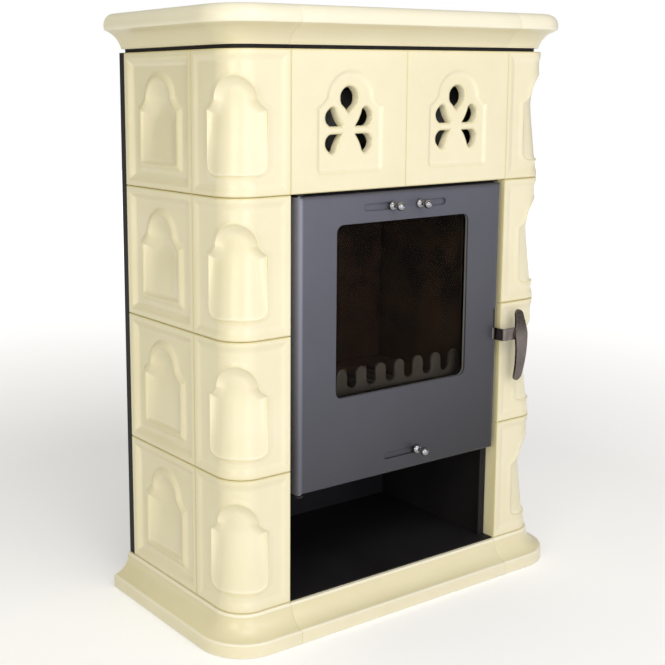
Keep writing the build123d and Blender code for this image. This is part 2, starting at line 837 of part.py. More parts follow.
with BuildPart() as ash_pan:
    block(-pan_half, pan_half, frame_back, frame_back + pan_depth, pan_low, pan_low + pan_height)
    block(sheet - pan_half, pan_half - sheet, frame_back, frame_back + pan_depth - sheet,
          pan_low + sheet, pan_low + pan_height, Mode.SUBTRACT)
    block(-pan_half - pan_flange, pan_half + pan_flange, frame_back - sheet, frame_back,
          pan_low - sheet, pan_low + pan_height + pan_flange)
    block(-pan_grip_width / 2, pan_grip_width / 2, frame_back - pan_flange, frame_back - sheet,
          pan_low + pan_height, pan_low + pan_height + sheet)
save(ash_pan, "ash_pan")

slot_width = guard_pitch - guard_tooth
guard_top_z = plinth_height + guard_top
slot_foot = guard_top_z - guard_slot + slot_width / 2

with BuildPart() as log_guard:
    with BuildSketch(Plane(origin=(0, y_at(guard_front), 0), x_dir=(1, 0, 0), z_dir=(0, -1, 0))):
        with Locations((0, (shelf_top + slot_foot) / 2)):
            Rectangle(guard_width, slot_foot - shelf_top)
        with Locations((0, (shelf_top + guard_top_z) / 2)):
            with GridLocations(guard_pitch, 1, guard_teeth, 1):
                SlotOverall(guard_top_z - shelf_top, guard_tooth, rotation=90)
        with Locations((0, slot_foot)):
            with GridLocations(guard_pitch, 1, guard_teeth + 1, 1):
                Circle(slot_width / 2, mode=Mode.SUBTRACT)
    extrude(amount=-guard_thickness)
save(log_guard, "log_guard")

# ---------------------------------------------------------------- door

door_middle = (door_low + door_high) / 2
window_middle = (window_low + window_high) / 2
front_plane = Plane(origin=(0, front_y, 0), x_dir=(1, 0, 0), z_dir=(0, -1, 0))  # Z towards the room


def window_frame(margin):
    """Outline of the window, grown all round by the margin, on the front plane."""
    with BuildSketch(mode=Mode.PRIVATE) as outline:
        with Locations((0, window_middle)):
            RectangleRounded(
                window_width + 2 * margin, window_height + 2 * margin, window_radius + margin / 2
            )
    return outline.sketch


def slot_outline(left, right, height):
    """Slot with round ends, across the door."""
    with BuildSketch(mode=Mode.PRIVATE) as outline:
        with Locations(((left + right) / 2, height)):
            SlotOverall(right - left, slot_height)
    return outline.sketch


notch_low = plinth_height + handle_notch_foot
notch_high = notch_low + handle_notch_height

with BuildPart() as door_skin_sheet:
    block(-door_half, door_half, door_face, door_back, door_low, door_high)
    fillet(door_skin_sheet.faces().sort_by(Axis.Y)[0].edges(), door_edge_radius)
    block(door_skin - door_half, door_half - door_skin, skin_back, door_back,
          door_low + door_skin, door_high - door_skin, Mode.SUBTRACT)
    with BuildSketch(front_plane):
        add(window_frame(0))
        add(slot_outline(-top_slot_outer, -top_slot_inner, top_slot_z))
        add(slot_outline(top_slot_inner, top_slot_outer, top_slot_z))
        add(slot_outline(-foot_slot_half, foot_slot_half, foot_slot_z))
    extrude(amount=2 * door_skin, both=True, mode=Mode.SUBTRACT)
    block(door_half - handle_notch_width, door_half + door_skin, door_face - door_skin, door_back + door_skin,
          notch_low, notch_high, Mode.SUBTRACT)
    with Locations((hinge_x, y_at(hinge_back), door_middle)):
        Cylinder(hinge_pin_radius, 2 * door_high, mode=Mode.SUBTRACT)
save(door_skin_sheet, "door_skin")

with BuildPart() as gasket:
    with BuildSketch(front_plane.offset(-skin_back)):
        add(window_frame(gasket_width))
        add(window_frame(tile_joint), mode=Mode.SUBTRACT)
    extrude(amount=-gasket_thickness)
save(gasket, "window_gasket")

with BuildPart() as pane:
    with BuildSketch(front_plane.offset(-pane_front)):
        add(window_frame(pane_margin))
    extrude(amount=-pane_thickness)
save(pane, "window_pane")

inner_half = door_half - inner_frame_side
inner_low = door_low + inner_frame_end
inner_high = door_high - inner_frame_end

with BuildPart() as inner_frame:
    block(-inner_half, inner_half, skin_back, inner_frame_back, inner_low, inner_high)
    block(sheet - inner_half, inner_half - sheet, skin_back, pane_back, inner_low + sheet, inner_high - sheet,
          Mode.SUBTRACT)
    with BuildSketch(front_plane.offset(-pane_back)):
        add(window_frame(0))
    extrude(amount=-2 * inner_frame_thickness, mode=Mode.SUBTRACT)
save(inner_frame, "inner_frame")

with BuildPart() as door_seal:
    block(-inner_half, inner_half, inner_frame_back, frame_back - seal_clearance, inner_low, inner_high)
    block(seal_width - inner_half, inner_half - seal_width, inner_frame_back, frame_back - seal_clearance,
          inner_low + seal_width, inner_high - seal_width, Mode.SUBTRACT)
save(door_seal, "door_seal")

screw_x = (window_width / 2 + inner_half - seal_width) / 2

with BuildPart() as door_screws:
    with BuildSketch(front_plane.offset(-inner_frame_back)):
        with Locations((0, window_middle)):
            with GridLocations(2 * screw_x, window_height / 3, 2, 4):
                RegularPolygon(screw_head_radius, 6)
    extrude(amount=-screw_head)
save(door_screws, "door_screws")

guide_half = slide_height / 2 + slide_fit + guide_wall
guide_back = skin_back + slide_thickness + 2 * slide_fit

with BuildPart() as slide_guides:
    for length, height in ((guide_length_top, top_slot_z), (guide_length_foot, foot_slot_z)):
        low, high = height - guide_half, height + guide_half
        block(-length / 2, length / 2, skin_back, guide_back + guide_wall, low, high)
        block(-length / 2, length / 2, skin_back, guide_back,
              height - guide_half + guide_wall, height + guide_half - guide_wall, Mode.SUBTRACT)
save(slide_guides, "slide_guides")


def air_slide(middle, knob_x, height, length, name):
    """Slide behind the door's skin, with a turned knob that stands out through the slot."""
    plate_front = skin_back + slide_fit
    collar_back = door_face - slide_fit
    with BuildPart() as slide:
        block(middle - length / 2, middle + length / 2, plate_front, plate_front + slide_thickness,
              height - slide_height / 2, height + slide_height / 2)
        with BuildSketch(Plane(origin=(knob_x, front_y, height))):
            with BuildLine():
                ball_middle = door_face - knob_reach + knob_ball_radius
                turns = [radians(turn) for turn in knob_turns]
                bands = [
                    (knob_ball_radius * cos(turn), ball_middle - knob_ball_radius * sin(turn))
                    for turn in turns
                ]
                Polyline(
                    (0, plate_front),
                    (knob_stem_radius, plate_front),
                    (knob_stem_radius, collar_back),
                    (knob_collar_radius, collar_back),
                    (knob_collar_radius, collar_back - knob_collar),
                    (bands[0][0], collar_back - knob_collar),
                    *bands,
                    (0, bands[-1][1]),
                    close=True,
                )
            make_face()
        revolve(axis=Axis((knob_x, front_y, height), (0, 1, 0)))
    save(slide, name)


top_slide_middle = (top_slot_inner + top_slot_outer) / 2
air_slide(-top_slide_middle, -knob_rest, top_slot_z, top_slide_length, "air_slide_left")
air_slide(top_slide_middle, knob_rest, top_slot_z, top_slide_length, "air_slide_right")
air_slide(0, foot_knob_rest, foot_slot_z, foot_slide_length, "air_slide_foot")

with BuildPart() as hinge_pins:
    with Locations((hinge_x, y_at(hinge_back), (door_high - door_skin + frieze_foot) / 2)):
        Cylinder(hinge_pin_radius, frieze_foot - door_high + door_skin)
    with Locations((hinge_x, y_at(hinge_back), (door_low + door_skin + foot_tongue) / 2)):
        Cylinder(hinge_pin_radius, door_low + door_skin - foot_tongue)
    with Locations((hinge_x, y_at(hinge_back), door_low - (hinge_below_gap - seal_clearance) / 2)):
        Cylinder(hinge_pin_radius + hinge_collar, hinge_below_gap - seal_clearance)
save(hinge_pins, "hinge_pins")

# ---------------------------------------------------------------- handle

pin_at = (handle_x, y_at(handle_pin_back))

with BuildPart() as handle_pin:
    with Locations((*pin_at, (notch_low + notch_high) / 2)):
        Cylinder(handle_pin_radius, handle_notch_height)
save(handle_pin, "handle_pin")

strap_low = notch_low + slide_fit
strap_high = strap_low + handle_strap_height
strap_middle = (strap_low + strap_high) / 2
lever_x = handle_x + handle_strap_length + handle_lever_width / 2
strap_front = -handle_strap_reach
lever_back = strap_front + handle_strap / 2
bore_radius = handle_pin_radius + handle_bore_clearance

lever_top = strap_middle + handle_lever_above
lever_foot = strap_middle - handle_lever_below
lever_end = handle_lever_end / 2

with BuildPart() as lever:
    with BuildSketch(Plane.YZ.offset(lever_x - handle_lever_width / 2)):
        with BuildLine():
            ThreePointArc(
                (y_at(lever_back + handle_lever_bow), lever_top + 1),
                (y_at(lever_back - handle_strap), strap_middle - handle_lever_below / 2),
                (y_at(lever_back + handle_lever_bow), lever_foot - 1),
            )
        trace(line_width=handle_strap)
    extrude(amount=handle_lever_width)
    with BuildSketch(Plane(origin=(lever_x, front_y, 0), x_dir=(1, 0, 0), z_dir=(0, -1, 0))):
        with BuildLine():
            for tip, cap in ((lever_top, handle_lever_cap), (lever_foot, -handle_lever_cap)):
                Line((handle_lever_width / 2, strap_middle), (lever_end, tip - cap))
                ThreePointArc((lever_end, tip - cap), (lever_end * 0.7, tip - cap * 0.29), (0, tip))
            mirror(about=Plane.YZ)
        make_face()
    extrude(amount=2 * handle_strap_reach, both=True, mode=Mode.INTERSECT)

with BuildPart() as handle:
    with BuildSketch(Plane.XY.offset(strap_low)):
        with BuildLine():
            FilletPolyline(
                (handle_x + handle_strap / 2, y_at(handle_pin_back)),
                (handle_x + handle_strap, y_at(strap_front)),
                (handle_x + handle_strap + handle_bend, y_at(lever_back)),
                (lever_x, y_at(lever_back)),
                radius=handle_bend_radius,
            )
        trace(line_width=handle_strap)
        with Locations(pin_at):
            Circle(handle_knuckle_radius)
    extrude(amount=handle_strap_height)
    add(lever.part)
    with Locations((*pin_at, strap_middle)):
        Cylinder(bore_radius, handle_strap_height * 2, mode=Mode.SUBTRACT)
save(handle, "handle")

with BuildPart() as closing_nose:
    with BuildSketch(Plane.XY.offset(strap_high)):
        with Locations(pin_at):
            Circle(handle_knuckle_radius)
            Circle(bore_radius, mode=Mode.SUBTRACT)
    extrude(amount=notch_high - slide_fit - strap_high)
    with BuildSketch(Plane.XY.offset(nose_z)):
        with Locations(Location((*pin_at, 0), (0, 0, nose_tilt))):
            with Locations((0, (nose_length + bore_radius) / 2)):
                Rectangle(nose_width, nose_length - bore_radius)
        with Locations(pin_at):
            Circle(bore_radius, mode=Mode.SUBTRACT)
    extrude(amount=nose_height)
save(closing_nose, "closing_nose")
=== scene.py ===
"""Tiled wood stove: glazed tiles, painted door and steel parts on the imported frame."""

import json
from math import cos, pi, radians, sin, sqrt

import bpy
import numpy as np
from mathutils import Matrix, Vector


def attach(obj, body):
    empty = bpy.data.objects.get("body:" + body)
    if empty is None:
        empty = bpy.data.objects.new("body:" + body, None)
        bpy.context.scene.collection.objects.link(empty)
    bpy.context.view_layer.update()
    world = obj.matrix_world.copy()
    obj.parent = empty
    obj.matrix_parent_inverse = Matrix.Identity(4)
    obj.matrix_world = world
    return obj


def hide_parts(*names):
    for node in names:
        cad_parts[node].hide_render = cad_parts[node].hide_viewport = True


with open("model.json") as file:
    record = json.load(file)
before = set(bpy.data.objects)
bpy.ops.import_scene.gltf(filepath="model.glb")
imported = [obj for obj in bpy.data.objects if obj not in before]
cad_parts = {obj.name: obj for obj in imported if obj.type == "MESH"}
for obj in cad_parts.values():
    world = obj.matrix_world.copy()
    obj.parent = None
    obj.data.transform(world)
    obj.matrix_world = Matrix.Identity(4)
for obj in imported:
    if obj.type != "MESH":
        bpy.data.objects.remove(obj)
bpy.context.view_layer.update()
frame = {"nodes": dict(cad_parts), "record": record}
NODES = frame["nodes"]
MM = 0.001

# ---------------------------------------------------------------- sizes, in millimetres

FRONT_Y = -175.0
BODY_HALF = 344.0
REAR = 333.0
PLINTH_TOP = 60.0
TILE_H = 220.0
TILE_TOP = 940.0
CORNICE_FOOT = 946.0
LEG = 110.0
SIDE_W = 207.0
FRIEZE_W = 234.0
RADIUS = 48.0
JOINT = 0.16
ROW_JOINT = 0.5
TILE_DEPTH = 34.0
ROWS = 4
ROSETTE_WALL = 13.0  # length of the walls in the rosette's holes

NICHE_FOOT = 32.0  # above the tile's lower edge
SHOULDER_UP = 98.0  # heights above the niche's foot
NECK_UP = 113.5
ARCH_UP = 153.0
CORNER_ARCH_UP = 149.0
ARCH_HALF = 64.0
CORNER_ARCH_HALF = 47.0
NICHE_DEPTH = 16.0  # at the shoulders, where it is deepest
NICHE_FOOT_DEPTH = 5.0
NICHE_HEAD_DEPTH = 8.0

SIDE_FIELD = 7.0  # how far the field of each kind of tile is sunk
CORNER_FIELD = 2.4
FRIEZE_SUNK = 3.2
SIDE_RIM_DEPTH = 3.6  # depth of a niche just inside its edge
CORNER_RIM_DEPTH = 1.6
GATHER_REACH = 1.6  # how strongly the relief drives the thin and the pooled glaze, with their painted highlight and painted shade

KNOB_BALL = 7.2
KNOB_STAND = 22.0  # middle of a knob's ball in front of the tiles
ROPE_TWIST = 7.0  # length of one turn of the rope's strands
PHOTO = 665.0  # width and height of the photograph, in pixels
SENSOR = 36.0

# ---------------------------------------------------------------- materials


class Shader:
    """A small helper that wires a node material."""

    def __init__(self, name):
        self.mat = bpy.data.materials.new(name)
        self.mat.use_nodes = True
        self.tree = self.mat.node_tree
        self.tree.nodes.clear()
        self.out = self.new("ShaderNodeOutputMaterial")
        self.bsdf = self.new("ShaderNodeBsdfPrincipled")
        self.link(self.bsdf.outputs[0], self.out.inputs["Surface"])
        self.coord = self.new("ShaderNodeTexCoord").outputs["Object"]

    def new(self, kind, **props):
        node = self.tree.nodes.new(kind)
        for key, value in props.items():
            setattr(node, key, value)
        return node

    def link(self, a, b):
        self.tree.links.new(a, b)

    def put(self, socket, value):
        if isinstance(value, bpy.types.NodeSocket):
            self.link(value, socket)
        elif isinstance(value, (tuple, list)) and len(value) == 3 and socket.type == "RGBA":
            socket.default_value = (*value, 1.0)
        else:
            socket.default_value = value

    def set(self, **values):
        for key, value in values.items():
            self.put(self.bsdf.inputs[key.replace("_", " ")], value)
        return self

    def stretch(self, scale):
        node = self.new("ShaderNodeVectorMath", operation="MULTIPLY")
        self.link(self.coord, node.inputs[0])
        node.inputs[1].default_value = scale
        return node.outputs[0]

    def noise(self, scale, detail=3.0, rough=0.5, vector=None):
        node = self.new("ShaderNodeTexNoise")
        self.link(vector or self.coord, node.inputs["Vector"])
        node.inputs["Scale"].default_value = scale
        node.inputs["Detail"].default_value = detail
        node.inputs["Roughness"].default_value = rough
        return node.outputs["Fac"]

    def cells(self, scale, vector=None):
        node = self.new("ShaderNodeTexVoronoi")
        self.link(vector or self.coord, node.inputs["Vector"])
        node.inputs["Scale"].default_value = scale
        return node.outputs["Distance"]

    def attribute(self, name):
        node = self.new("ShaderNodeAttribute", attribute_name=name)
        return node.outputs["Fac"]

    def math(self, op, a, b=0.0, clamp=False):
        node = self.new("ShaderNodeMath", operation=op, use_clamp=clamp)
        self.put(node.inputs[0], a)
        self.put(node.inputs[1], b)
        return node.outputs[0]

    def fit(self, value, low, high, to_low=0.0, to_high=1.0):
        node = self.new("ShaderNodeMapRange")
        self.put(node.inputs["Value"], value)
        names = ("From Min", "From Max", "To Min", "To Max")
        for key, number in zip(names, (low, high, to_low, to_high)):
            node.inputs[key].default_value = number
        return node.outputs[0]

    def mix(self, factor, a, b):
        node = self.new("ShaderNodeMix", data_type="RGBA")
        self.put(node.inputs[0], factor)
        self.put(node.inputs[6], a)
        self.put(node.inputs[7], b)
        return node.outputs[2]

    def bump(self, height, distance, strength=1.0, normal=None):
        node = self.new("ShaderNodeBump")
        self.link(height, node.inputs["Height"])
        node.inputs["Distance"].default_value = distance
        node.inputs["Strength"].default_value = strength
        if normal is not None:
            self.link(normal, node.inputs["Normal"])
        return node.outputs[0]

    def bevel(self, radius):
        node = self.new("ShaderNodeBevel", samples=4)
        node.inputs["Radius"].default_value = radius
        return node.outputs[0]


def glaze_material():
    """Cream glaze over clay: paler on the edges, where it runs thin and a highlight is painted;
    deeper in the hollows, where it gathers and shade is painted.
    """
    s = Shader("cream_glaze")
    place = s.new("ShaderNodeObjectInfo").outputs["Location"]
    shifted = s.new("ShaderNodeVectorMath", operation="ADD")
    s.link(s.coord, shifted.inputs[0])
    s.link(place, shifted.inputs[1])
    here = shifted.outputs[0]
    cloud = s.noise(7.0, 4.0, 0.55, here)
    fine = s.noise(60.0, 3.0, 0.6, here)
    body = s.mix(s.fit(cloud, 0.3, 0.7), (0.795, 0.730, 0.490), (0.845, 0.785, 0.560))
    body = s.mix(s.fit(fine, 0.35, 0.75, 0.0, 0.25), body, (0.85, 0.80, 0.57))
    # Painted shade in the hollows, on top of the glaze gathering there: the colour turns to a
    # darker, shaded yellow.
    gathered_glaze_and_painted_shade = s.mix(s.attribute("pool"), body, (0.700, 0.630, 0.350))
    # Painted highlight on the edges, on top of the glaze running thin there: the colour turns
    # paler.
    thin_glaze_and_painted_highlight = s.mix(s.attribute("edge"), gathered_glaze_and_painted_shade, (0.905, 0.865, 0.700))
    speck = s.fit(s.cells(420.0, vector=here), 0.02, 0.05, 1.0, 0.0)
    rare = s.fit(s.noise(90.0, 1.0, 0.5, here), 0.66, 0.70)
    freckle = s.math("MULTIPLY", s.math("MULTIPLY", speck, rare), 0.45)
    color = s.mix(freckle, thin_glaze_and_painted_highlight, (0.50, 0.38, 0.20))
    peel = s.noise(55.0, 2.0, 0.5, here)
    wave = s.noise(11.0, 2.0, 0.5, here)
    height = s.math("ADD", s.math("MULTIPLY", peel, 0.12), wave)
    s.set(
        Base_Color=color,
        Roughness=s.fit(fine, 0.3, 0.8, 0.31, 0.39),
        IOR=1.5,
        Normal=s.bump(height, 0.0010, 0.5),
    )
    s.bsdf.inputs["Coat Weight"].default_value = 0.18
    s.bsdf.inputs["Coat Roughness"].default_value = 0.14
    return s.mat


def painted_material(name, dark, light, rough, bevel=0.0, dust=0.0, shine=0.5):
    """Stove paint on sheet steel: fine grain with paler flecks, faint clouds and, with a bevel,
    softly rounded edges.
    """
    s = Shader(name)
    cloud = s.noise(9.0, 4.0, 0.6)
    fine = s.noise(900.0, 2.0, 0.5)
    color = s.mix(s.fit(cloud, 0.3, 0.7), dark, light)
    worn = tuple(min(1.0, c * 1.5 + 0.01) for c in light)
    color = s.mix(s.fit(fine, 0.45, 0.8, 0.0, 0.22), color, worn)
    if dust:
        dusty = s.fit(s.noise(30.0, 5.0, 0.7), 0.5, 0.8, 0.0, dust)
        color = s.mix(dusty, color, (0.30, 0.28, 0.26))
    base = s.bevel(bevel) if bevel else None
    uneven = s.math("ADD", cloud, s.math("MULTIPLY", fine, 0.4))
    s.set(
        Base_Color=color,
        Roughness=s.fit(uneven, 0.4, 1.0, rough - 0.06, rough + 0.08),
        Normal=s.bump(fine, 0.00008, 1.0, base),
    )
    s.bsdf.inputs["Specular IOR Level"].default_value = shine
    return s.mat


DOOR_ROLL_X = 0.2125  # where the door's edges begin to roll back, in metres
DOOR_ROLL_Z = 0.706
DOOR_ROLL_WIDTH = 0.009


def door_material():
    """Satin anthracite paint with painted light: lighter towards the top left, and a painted
    highlight on the rolled left edge.
    """
    s = Shader("door_paint")
    split = s.new("ShaderNodeSeparateXYZ")
    s.link(s.coord, split.inputs[0])
    # Painted light: the paint runs from a shaded near-black at the bottom right to a lit grey at
    # the top left.
    rise = s.fit(split.outputs["Z"], 0.24, 0.71)
    side = s.fit(split.outputs["X"], 0.22, -0.22)
    rise_share = s.math("MULTIPLY", rise, 0.68)
    side_share = s.math("MULTIPLY", side, 0.32)
    painted_light_share = s.math("ADD", rise_share, side_share, clamp=True)
    cloud = s.noise(6.0, 3.0, 0.55)
    fine = s.noise(1400.0, 2.0, 0.5)
    low = s.mix(s.fit(cloud, 0.3, 0.7), (0.009, 0.009, 0.011), (0.013, 0.013, 0.015))
    high = s.mix(s.fit(cloud, 0.3, 0.7), (0.098, 0.100, 0.130), (0.112, 0.114, 0.146))
    color = s.mix(painted_light_share, low, high)
    color = s.mix(s.fit(fine, 0.4, 0.8, 0.0, 0.12), color, (0.19, 0.19, 0.22))
    beside = s.math("SUBTRACT", s.math("ABSOLUTE", split.outputs["X"]), DOOR_ROLL_X)
    above = s.math("SUBTRACT", split.outputs["Z"], DOOR_ROLL_Z)
    rolled = s.math("DIVIDE", s.math("MAXIMUM", beside, above), DOOR_ROLL_WIDTH)
    rolled = s.math("MULTIPLY", s.math("POWER", s.math("MAXIMUM", rolled, 0.0), 2.0), -1.0)
    # Painted highlight along the door's rolled left edge, stronger higher up.
    at_edge = s.fit(split.outputs["X"], -0.2115, -0.2155)
    higher = s.fit(split.outputs["Z"], 0.30, 0.62, 0.25, 0.75)
    painted_edge_highlight = s.math("MULTIPLY", at_edge, higher)
    color = s.mix(painted_edge_highlight, color, (0.27, 0.28, 0.35))
    uneven = s.math("ADD", cloud, s.math("MULTIPLY", fine, 0.5))
    s.set(
        Base_Color=color,
        Roughness=s.fit(uneven, 0.4, 1.1, 0.36, 0.48),
        Normal=s.bump(fine, 0.00005, 1.0, s.bump(rolled, 0.003, 1.0, s.bevel(0.0012))),
    )
    s.bsdf.inputs["Specular IOR Level"].default_value = 0.30
    s.bsdf.inputs["Coat Weight"].default_value = 0.20
    s.bsdf.inputs["Coat Roughness"].default_value = 0.16
    return s.mat


def brushed_material(name, dark, light, rough, along=(1.0, 40.0, 40.0)):
    """Ground steel with fine lines and a few darker rubbed patches."""
    s = Shader(name)
    lines = s.noise(28.0, 4.0, 0.65, s.stretch(along))
    patch = s.noise(40.0, 4.0, 0.6)
    color = s.mix(s.fit(lines, 0.3, 0.7), dark, light)
    color = s.mix(s.fit(patch, 0.5, 0.75, 0.0, 0.35), color, tuple(c * 0.6 for c in dark))
    s.set(
        Base_Color=color,
        Metallic=1.0,
        Roughness=s.fit(lines, 0.3, 0.7, rough - 0.06, rough + 0.08),
        Normal=s.bump(lines, 0.00006, 1.0, s.bevel(0.0008)),
    )
    return s.mat


def chrome_material():
    """Polished knobs, smeared by hands."""
    s = Shader("chrome")
    smear = s.noise(60.0, 3.0, 0.6)
    s.set(
        Base_Color=s.mix(s.fit(smear, 0.35, 0.7), (0.26, 0.26, 0.28), (0.38, 0.38, 0.39)),
        Metallic=1.0,
        Roughness=s.fit(smear, 0.3, 0.75, 0.04, 0.12),
        Normal=s.bump(smear, 0.00005),
    )
    return s.mat


def firebrick_material():
    """Dry fire-box board: brown, speckled with paler flakes, more sooted towards the top."""
    s = Shader("firebrick")
    split = s.new("ShaderNodeSeparateXYZ")
    s.link(s.coord, split.inputs[0])
    grain = s.noise(220.0, 5.0, 0.7)
    flakes = s.cells(260.0)
    cloud = s.noise(12.0, 5.0, 0.65)
    color = s.mix(s.fit(grain, 0.3, 0.7), (0.12, 0.062, 0.035), (0.20, 0.11, 0.06))
    color = s.mix(s.fit(flakes, 0.05, 0.22, 0.4, 0.0), color, (0.26, 0.16, 0.09))
    patches = s.fit(cloud, 0.30, 0.62, 0.35, 1.0)
    higher = s.fit(split.outputs["Z"], 0.36, 0.60, 0.55, 1.0)
    soot = s.math("MULTIPLY", patches, higher)
    color = s.mix(s.fit(soot, 0.1, 0.9, 0.40, 0.97), color, (0.012, 0.008, 0.007))
    s.set(
        Base_Color=color,
        Roughness=s.fit(grain, 0.3, 0.7, 0.85, 0.98),
        Normal=s.bump(grain, 0.0003, 0.6),
    )
    return s.mat


def cast_iron_material():
    """Rough grey casting with ash lying on it."""
    s = Shader("cast_iron")
    grain = s.noise(500.0, 5.0, 0.7)
    ash = s.noise(25.0, 5.0, 0.7)
    color = s.mix(s.fit(grain, 0.3, 0.7), (0.055, 0.052, 0.050), (0.10, 0.095, 0.09))
    color = s.mix(s.fit(ash, 0.5, 0.75, 0.0, 0.35), color, (0.36, 0.34, 0.31))
    s.set(
        Base_Color=color,
        Metallic=0.4,
        Roughness=s.fit(ash, 0.3, 0.7, 0.6, 0.85),
        Normal=s.bump(grain, 0.0004),
    )
    return s.mat


def rope_material():
    """Woven glass fibre rope, greyed by use."""
    s = Shader("fibre_rope")
    weave = s.new("ShaderNodeTexWave", wave_type="BANDS", bands_direction="DIAGONAL")
    s.link(s.coord, weave.inputs["Vector"])
    weave.inputs["Scale"].default_value = 160.0
    weave.inputs["Distortion"].default_value = 1.5
    fuzz = s.noise(700.0, 4.0, 0.7)
    color = s.mix(weave.outputs["Fac"], (0.10, 0.095, 0.085), (0.27, 0.26, 0.24))
    color = s.mix(s.fit(fuzz, 0.45, 0.8, 0.0, 0.5), color, (0.36, 0.35, 0.33))
    height = s.math("ADD", weave.outputs["Fac"], s.math("MULTIPLY", fuzz, 0.4))
    s.set(
        Base_Color=color,
        Roughness=s.fit(fuzz, 0.3, 0.7, 0.8, 0.95),
        Normal=s.bump(height, 0.0006),
    )
    s.bsdf.inputs["Sheen Weight"].default_value = 0.3
    return s.mat


def glass_material():
    """Ceramic glass, faintly smoked, with a breath of soot."""
    s = Shader("stove_glass")
    film = s.noise(18.0, 4.0, 0.6)
    s.set(
        Base_Color=s.mix(s.fit(film, 0.4, 0.75), (0.66, 0.60, 0.54), (0.56, 0.50, 0.44)),
        Roughness=s.fit(film, 0.45, 0.8, 0.01, 0.03),
        IOR=1.07,
    )
    s.bsdf.inputs["Transmission Weight"].default_value = 1.0
    return s.mat


GLAZE = glaze_material()
DOOR = door_material()
BLACK = painted_material(
    "black_steel", (0.009, 0.008, 0.009), (0.015, 0.014, 0.015), 0.55, bevel=0.0008, shine=0.2
)
BODY = painted_material("body_steel", (0.050, 0.050, 0.054), (0.075, 0.075, 0.080), 0.55, dust=0.25)
GUARD = painted_material(
    "guard_steel", (0.075, 0.077, 0.076), (0.105, 0.107, 0.105), 0.5, bevel=0.0012, dust=0.1
)
IRON = cast_iron_material()
BRICK = firebrick_material()
GLASS = glass_material()
ROPE = rope_material()
PIN = brushed_material("bright_steel", (0.42, 0.42, 0.43), (0.60, 0.60, 0.61), 0.28)
HANDLE = brushed_material(
    "handle_steel", (0.120, 0.102, 0.094), (0.215, 0.185, 0.172), 0.23, (40.0, 40.0, 1.5)
)
DARK_PIN = brushed_material("blued_steel", (0.022, 0.021, 0.022), (0.045, 0.043, 0.044), 0.20)
CHROME = chrome_material()

LOOK = {
    "glaze": GLAZE,
    "black_steel": BLACK,
    "body_steel": BODY,
    "guard_steel": GUARD,
    "door_paint": DOOR,
    "cast_iron": IRON,
    "firebrick": BRICK,
    "glass": GLASS,
    "fibre_rope": ROPE,
    "bright_steel": PIN,
    "handle_steel": HANDLE,
    "chrome": CHROME,
}

SLOT_OF = {part["node"]: part["material_slot"] for part in frame["record"]["subparts"]}
for node, obj in NODES.items():
    if not obj.material_slots:
        obj.data.materials.append(None)
    for slot in obj.material_slots:
        slot.material = DARK_PIN if node in ("handle_pin", "closing_nose") else LOOK[SLOT_OF[node]]

# ---------------------------------------------------------------- mesh helpers


def new_mesh(name, verts, faces, material, smooth=True, attributes=None, sharp=None):
    """Mesh from points in millimetres."""
    mesh = bpy.data.meshes.new(name)
    points = (np.asarray(verts, float) * MM).tolist()
    mesh.from_pydata(points, [], [tuple(int(i) for i in f) for f in faces])
    mesh.materials.append(material)
    if smooth:
        mesh.polygons.foreach_set("use_smooth", [True] * len(mesh.polygons))
    if sharp is not None:
        mesh.set_sharp_from_angle(angle=radians(sharp))
    for key, values in (attributes or {}).items():
        layer = mesh.attributes.new(key, "FLOAT", "POINT")
        layer.data.foreach_set("value", np.asarray(values, np.float32))
    mesh.update()
    return mesh


def link_object(name, data):
    obj = bpy.data.objects.new(name, data)
    bpy.context.scene.collection.objects.link(obj)
    return obj


def new_object(name, *args, **options):
    return link_object(name, new_mesh(name, *args, **options))


def stand_for(obj, node, body="root"):
    """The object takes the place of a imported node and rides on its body."""
    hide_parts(node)
    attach(obj, body)


def grid_faces(rows, columns):
    index = np.arange(rows * columns).reshape(rows, columns)
    corners = [index[:-1, :-1], index[:-1, 1:], index[1:, 1:], index[1:, :-1]]
    return np.stack(corners, -1).reshape(-1, 4)


def smoothstep(low, high, x):
    t = np.clip((x - low) / (high - low), 0.0, 1.0)
    return t * t * (3.0 - 2.0 * t)


def round_over(distance, radius):
    """Drop of a rounded edge, at this distance inside it."""
    t = np.clip(1.0 - distance / radius, 0.0, 1.0)
    return radius * (1.0 - np.sqrt(1.0 - t * t))


def arc_through(a, b, c, count=16):
    """Points on the arc from a through b to c."""
    ax, ay = a
    bx, by = b
    cx, cy = c
    d = 2.0 * (ax * (by - cy) + bx * (cy - ay) + cx * (ay - by))
    a2, b2, c2 = ax**2 + ay**2, bx**2 + by**2, cx**2 + cy**2
    ux = (a2 * (by - cy) + b2 * (cy - ay) + c2 * (ay - by)) / d
    uy = (a2 * (cx - bx) + b2 * (ax - cx) + c2 * (bx - ax)) / d
    radius = sqrt((ax - ux) ** 2 + (ay - uy) ** 2)
    start, middle, end = (np.arctan2(y - uy, x - ux) for x, y in (a, b, c))
    span = (end - start) % (2 * pi)
    if (middle - start) % (2 * pi) > span:
        span -= 2 * pi
    turn = start + span * np.linspace(0.0, 1.0, count)
    return [(ux + radius * cos(t), uy + radius * sin(t)) for t in turn]


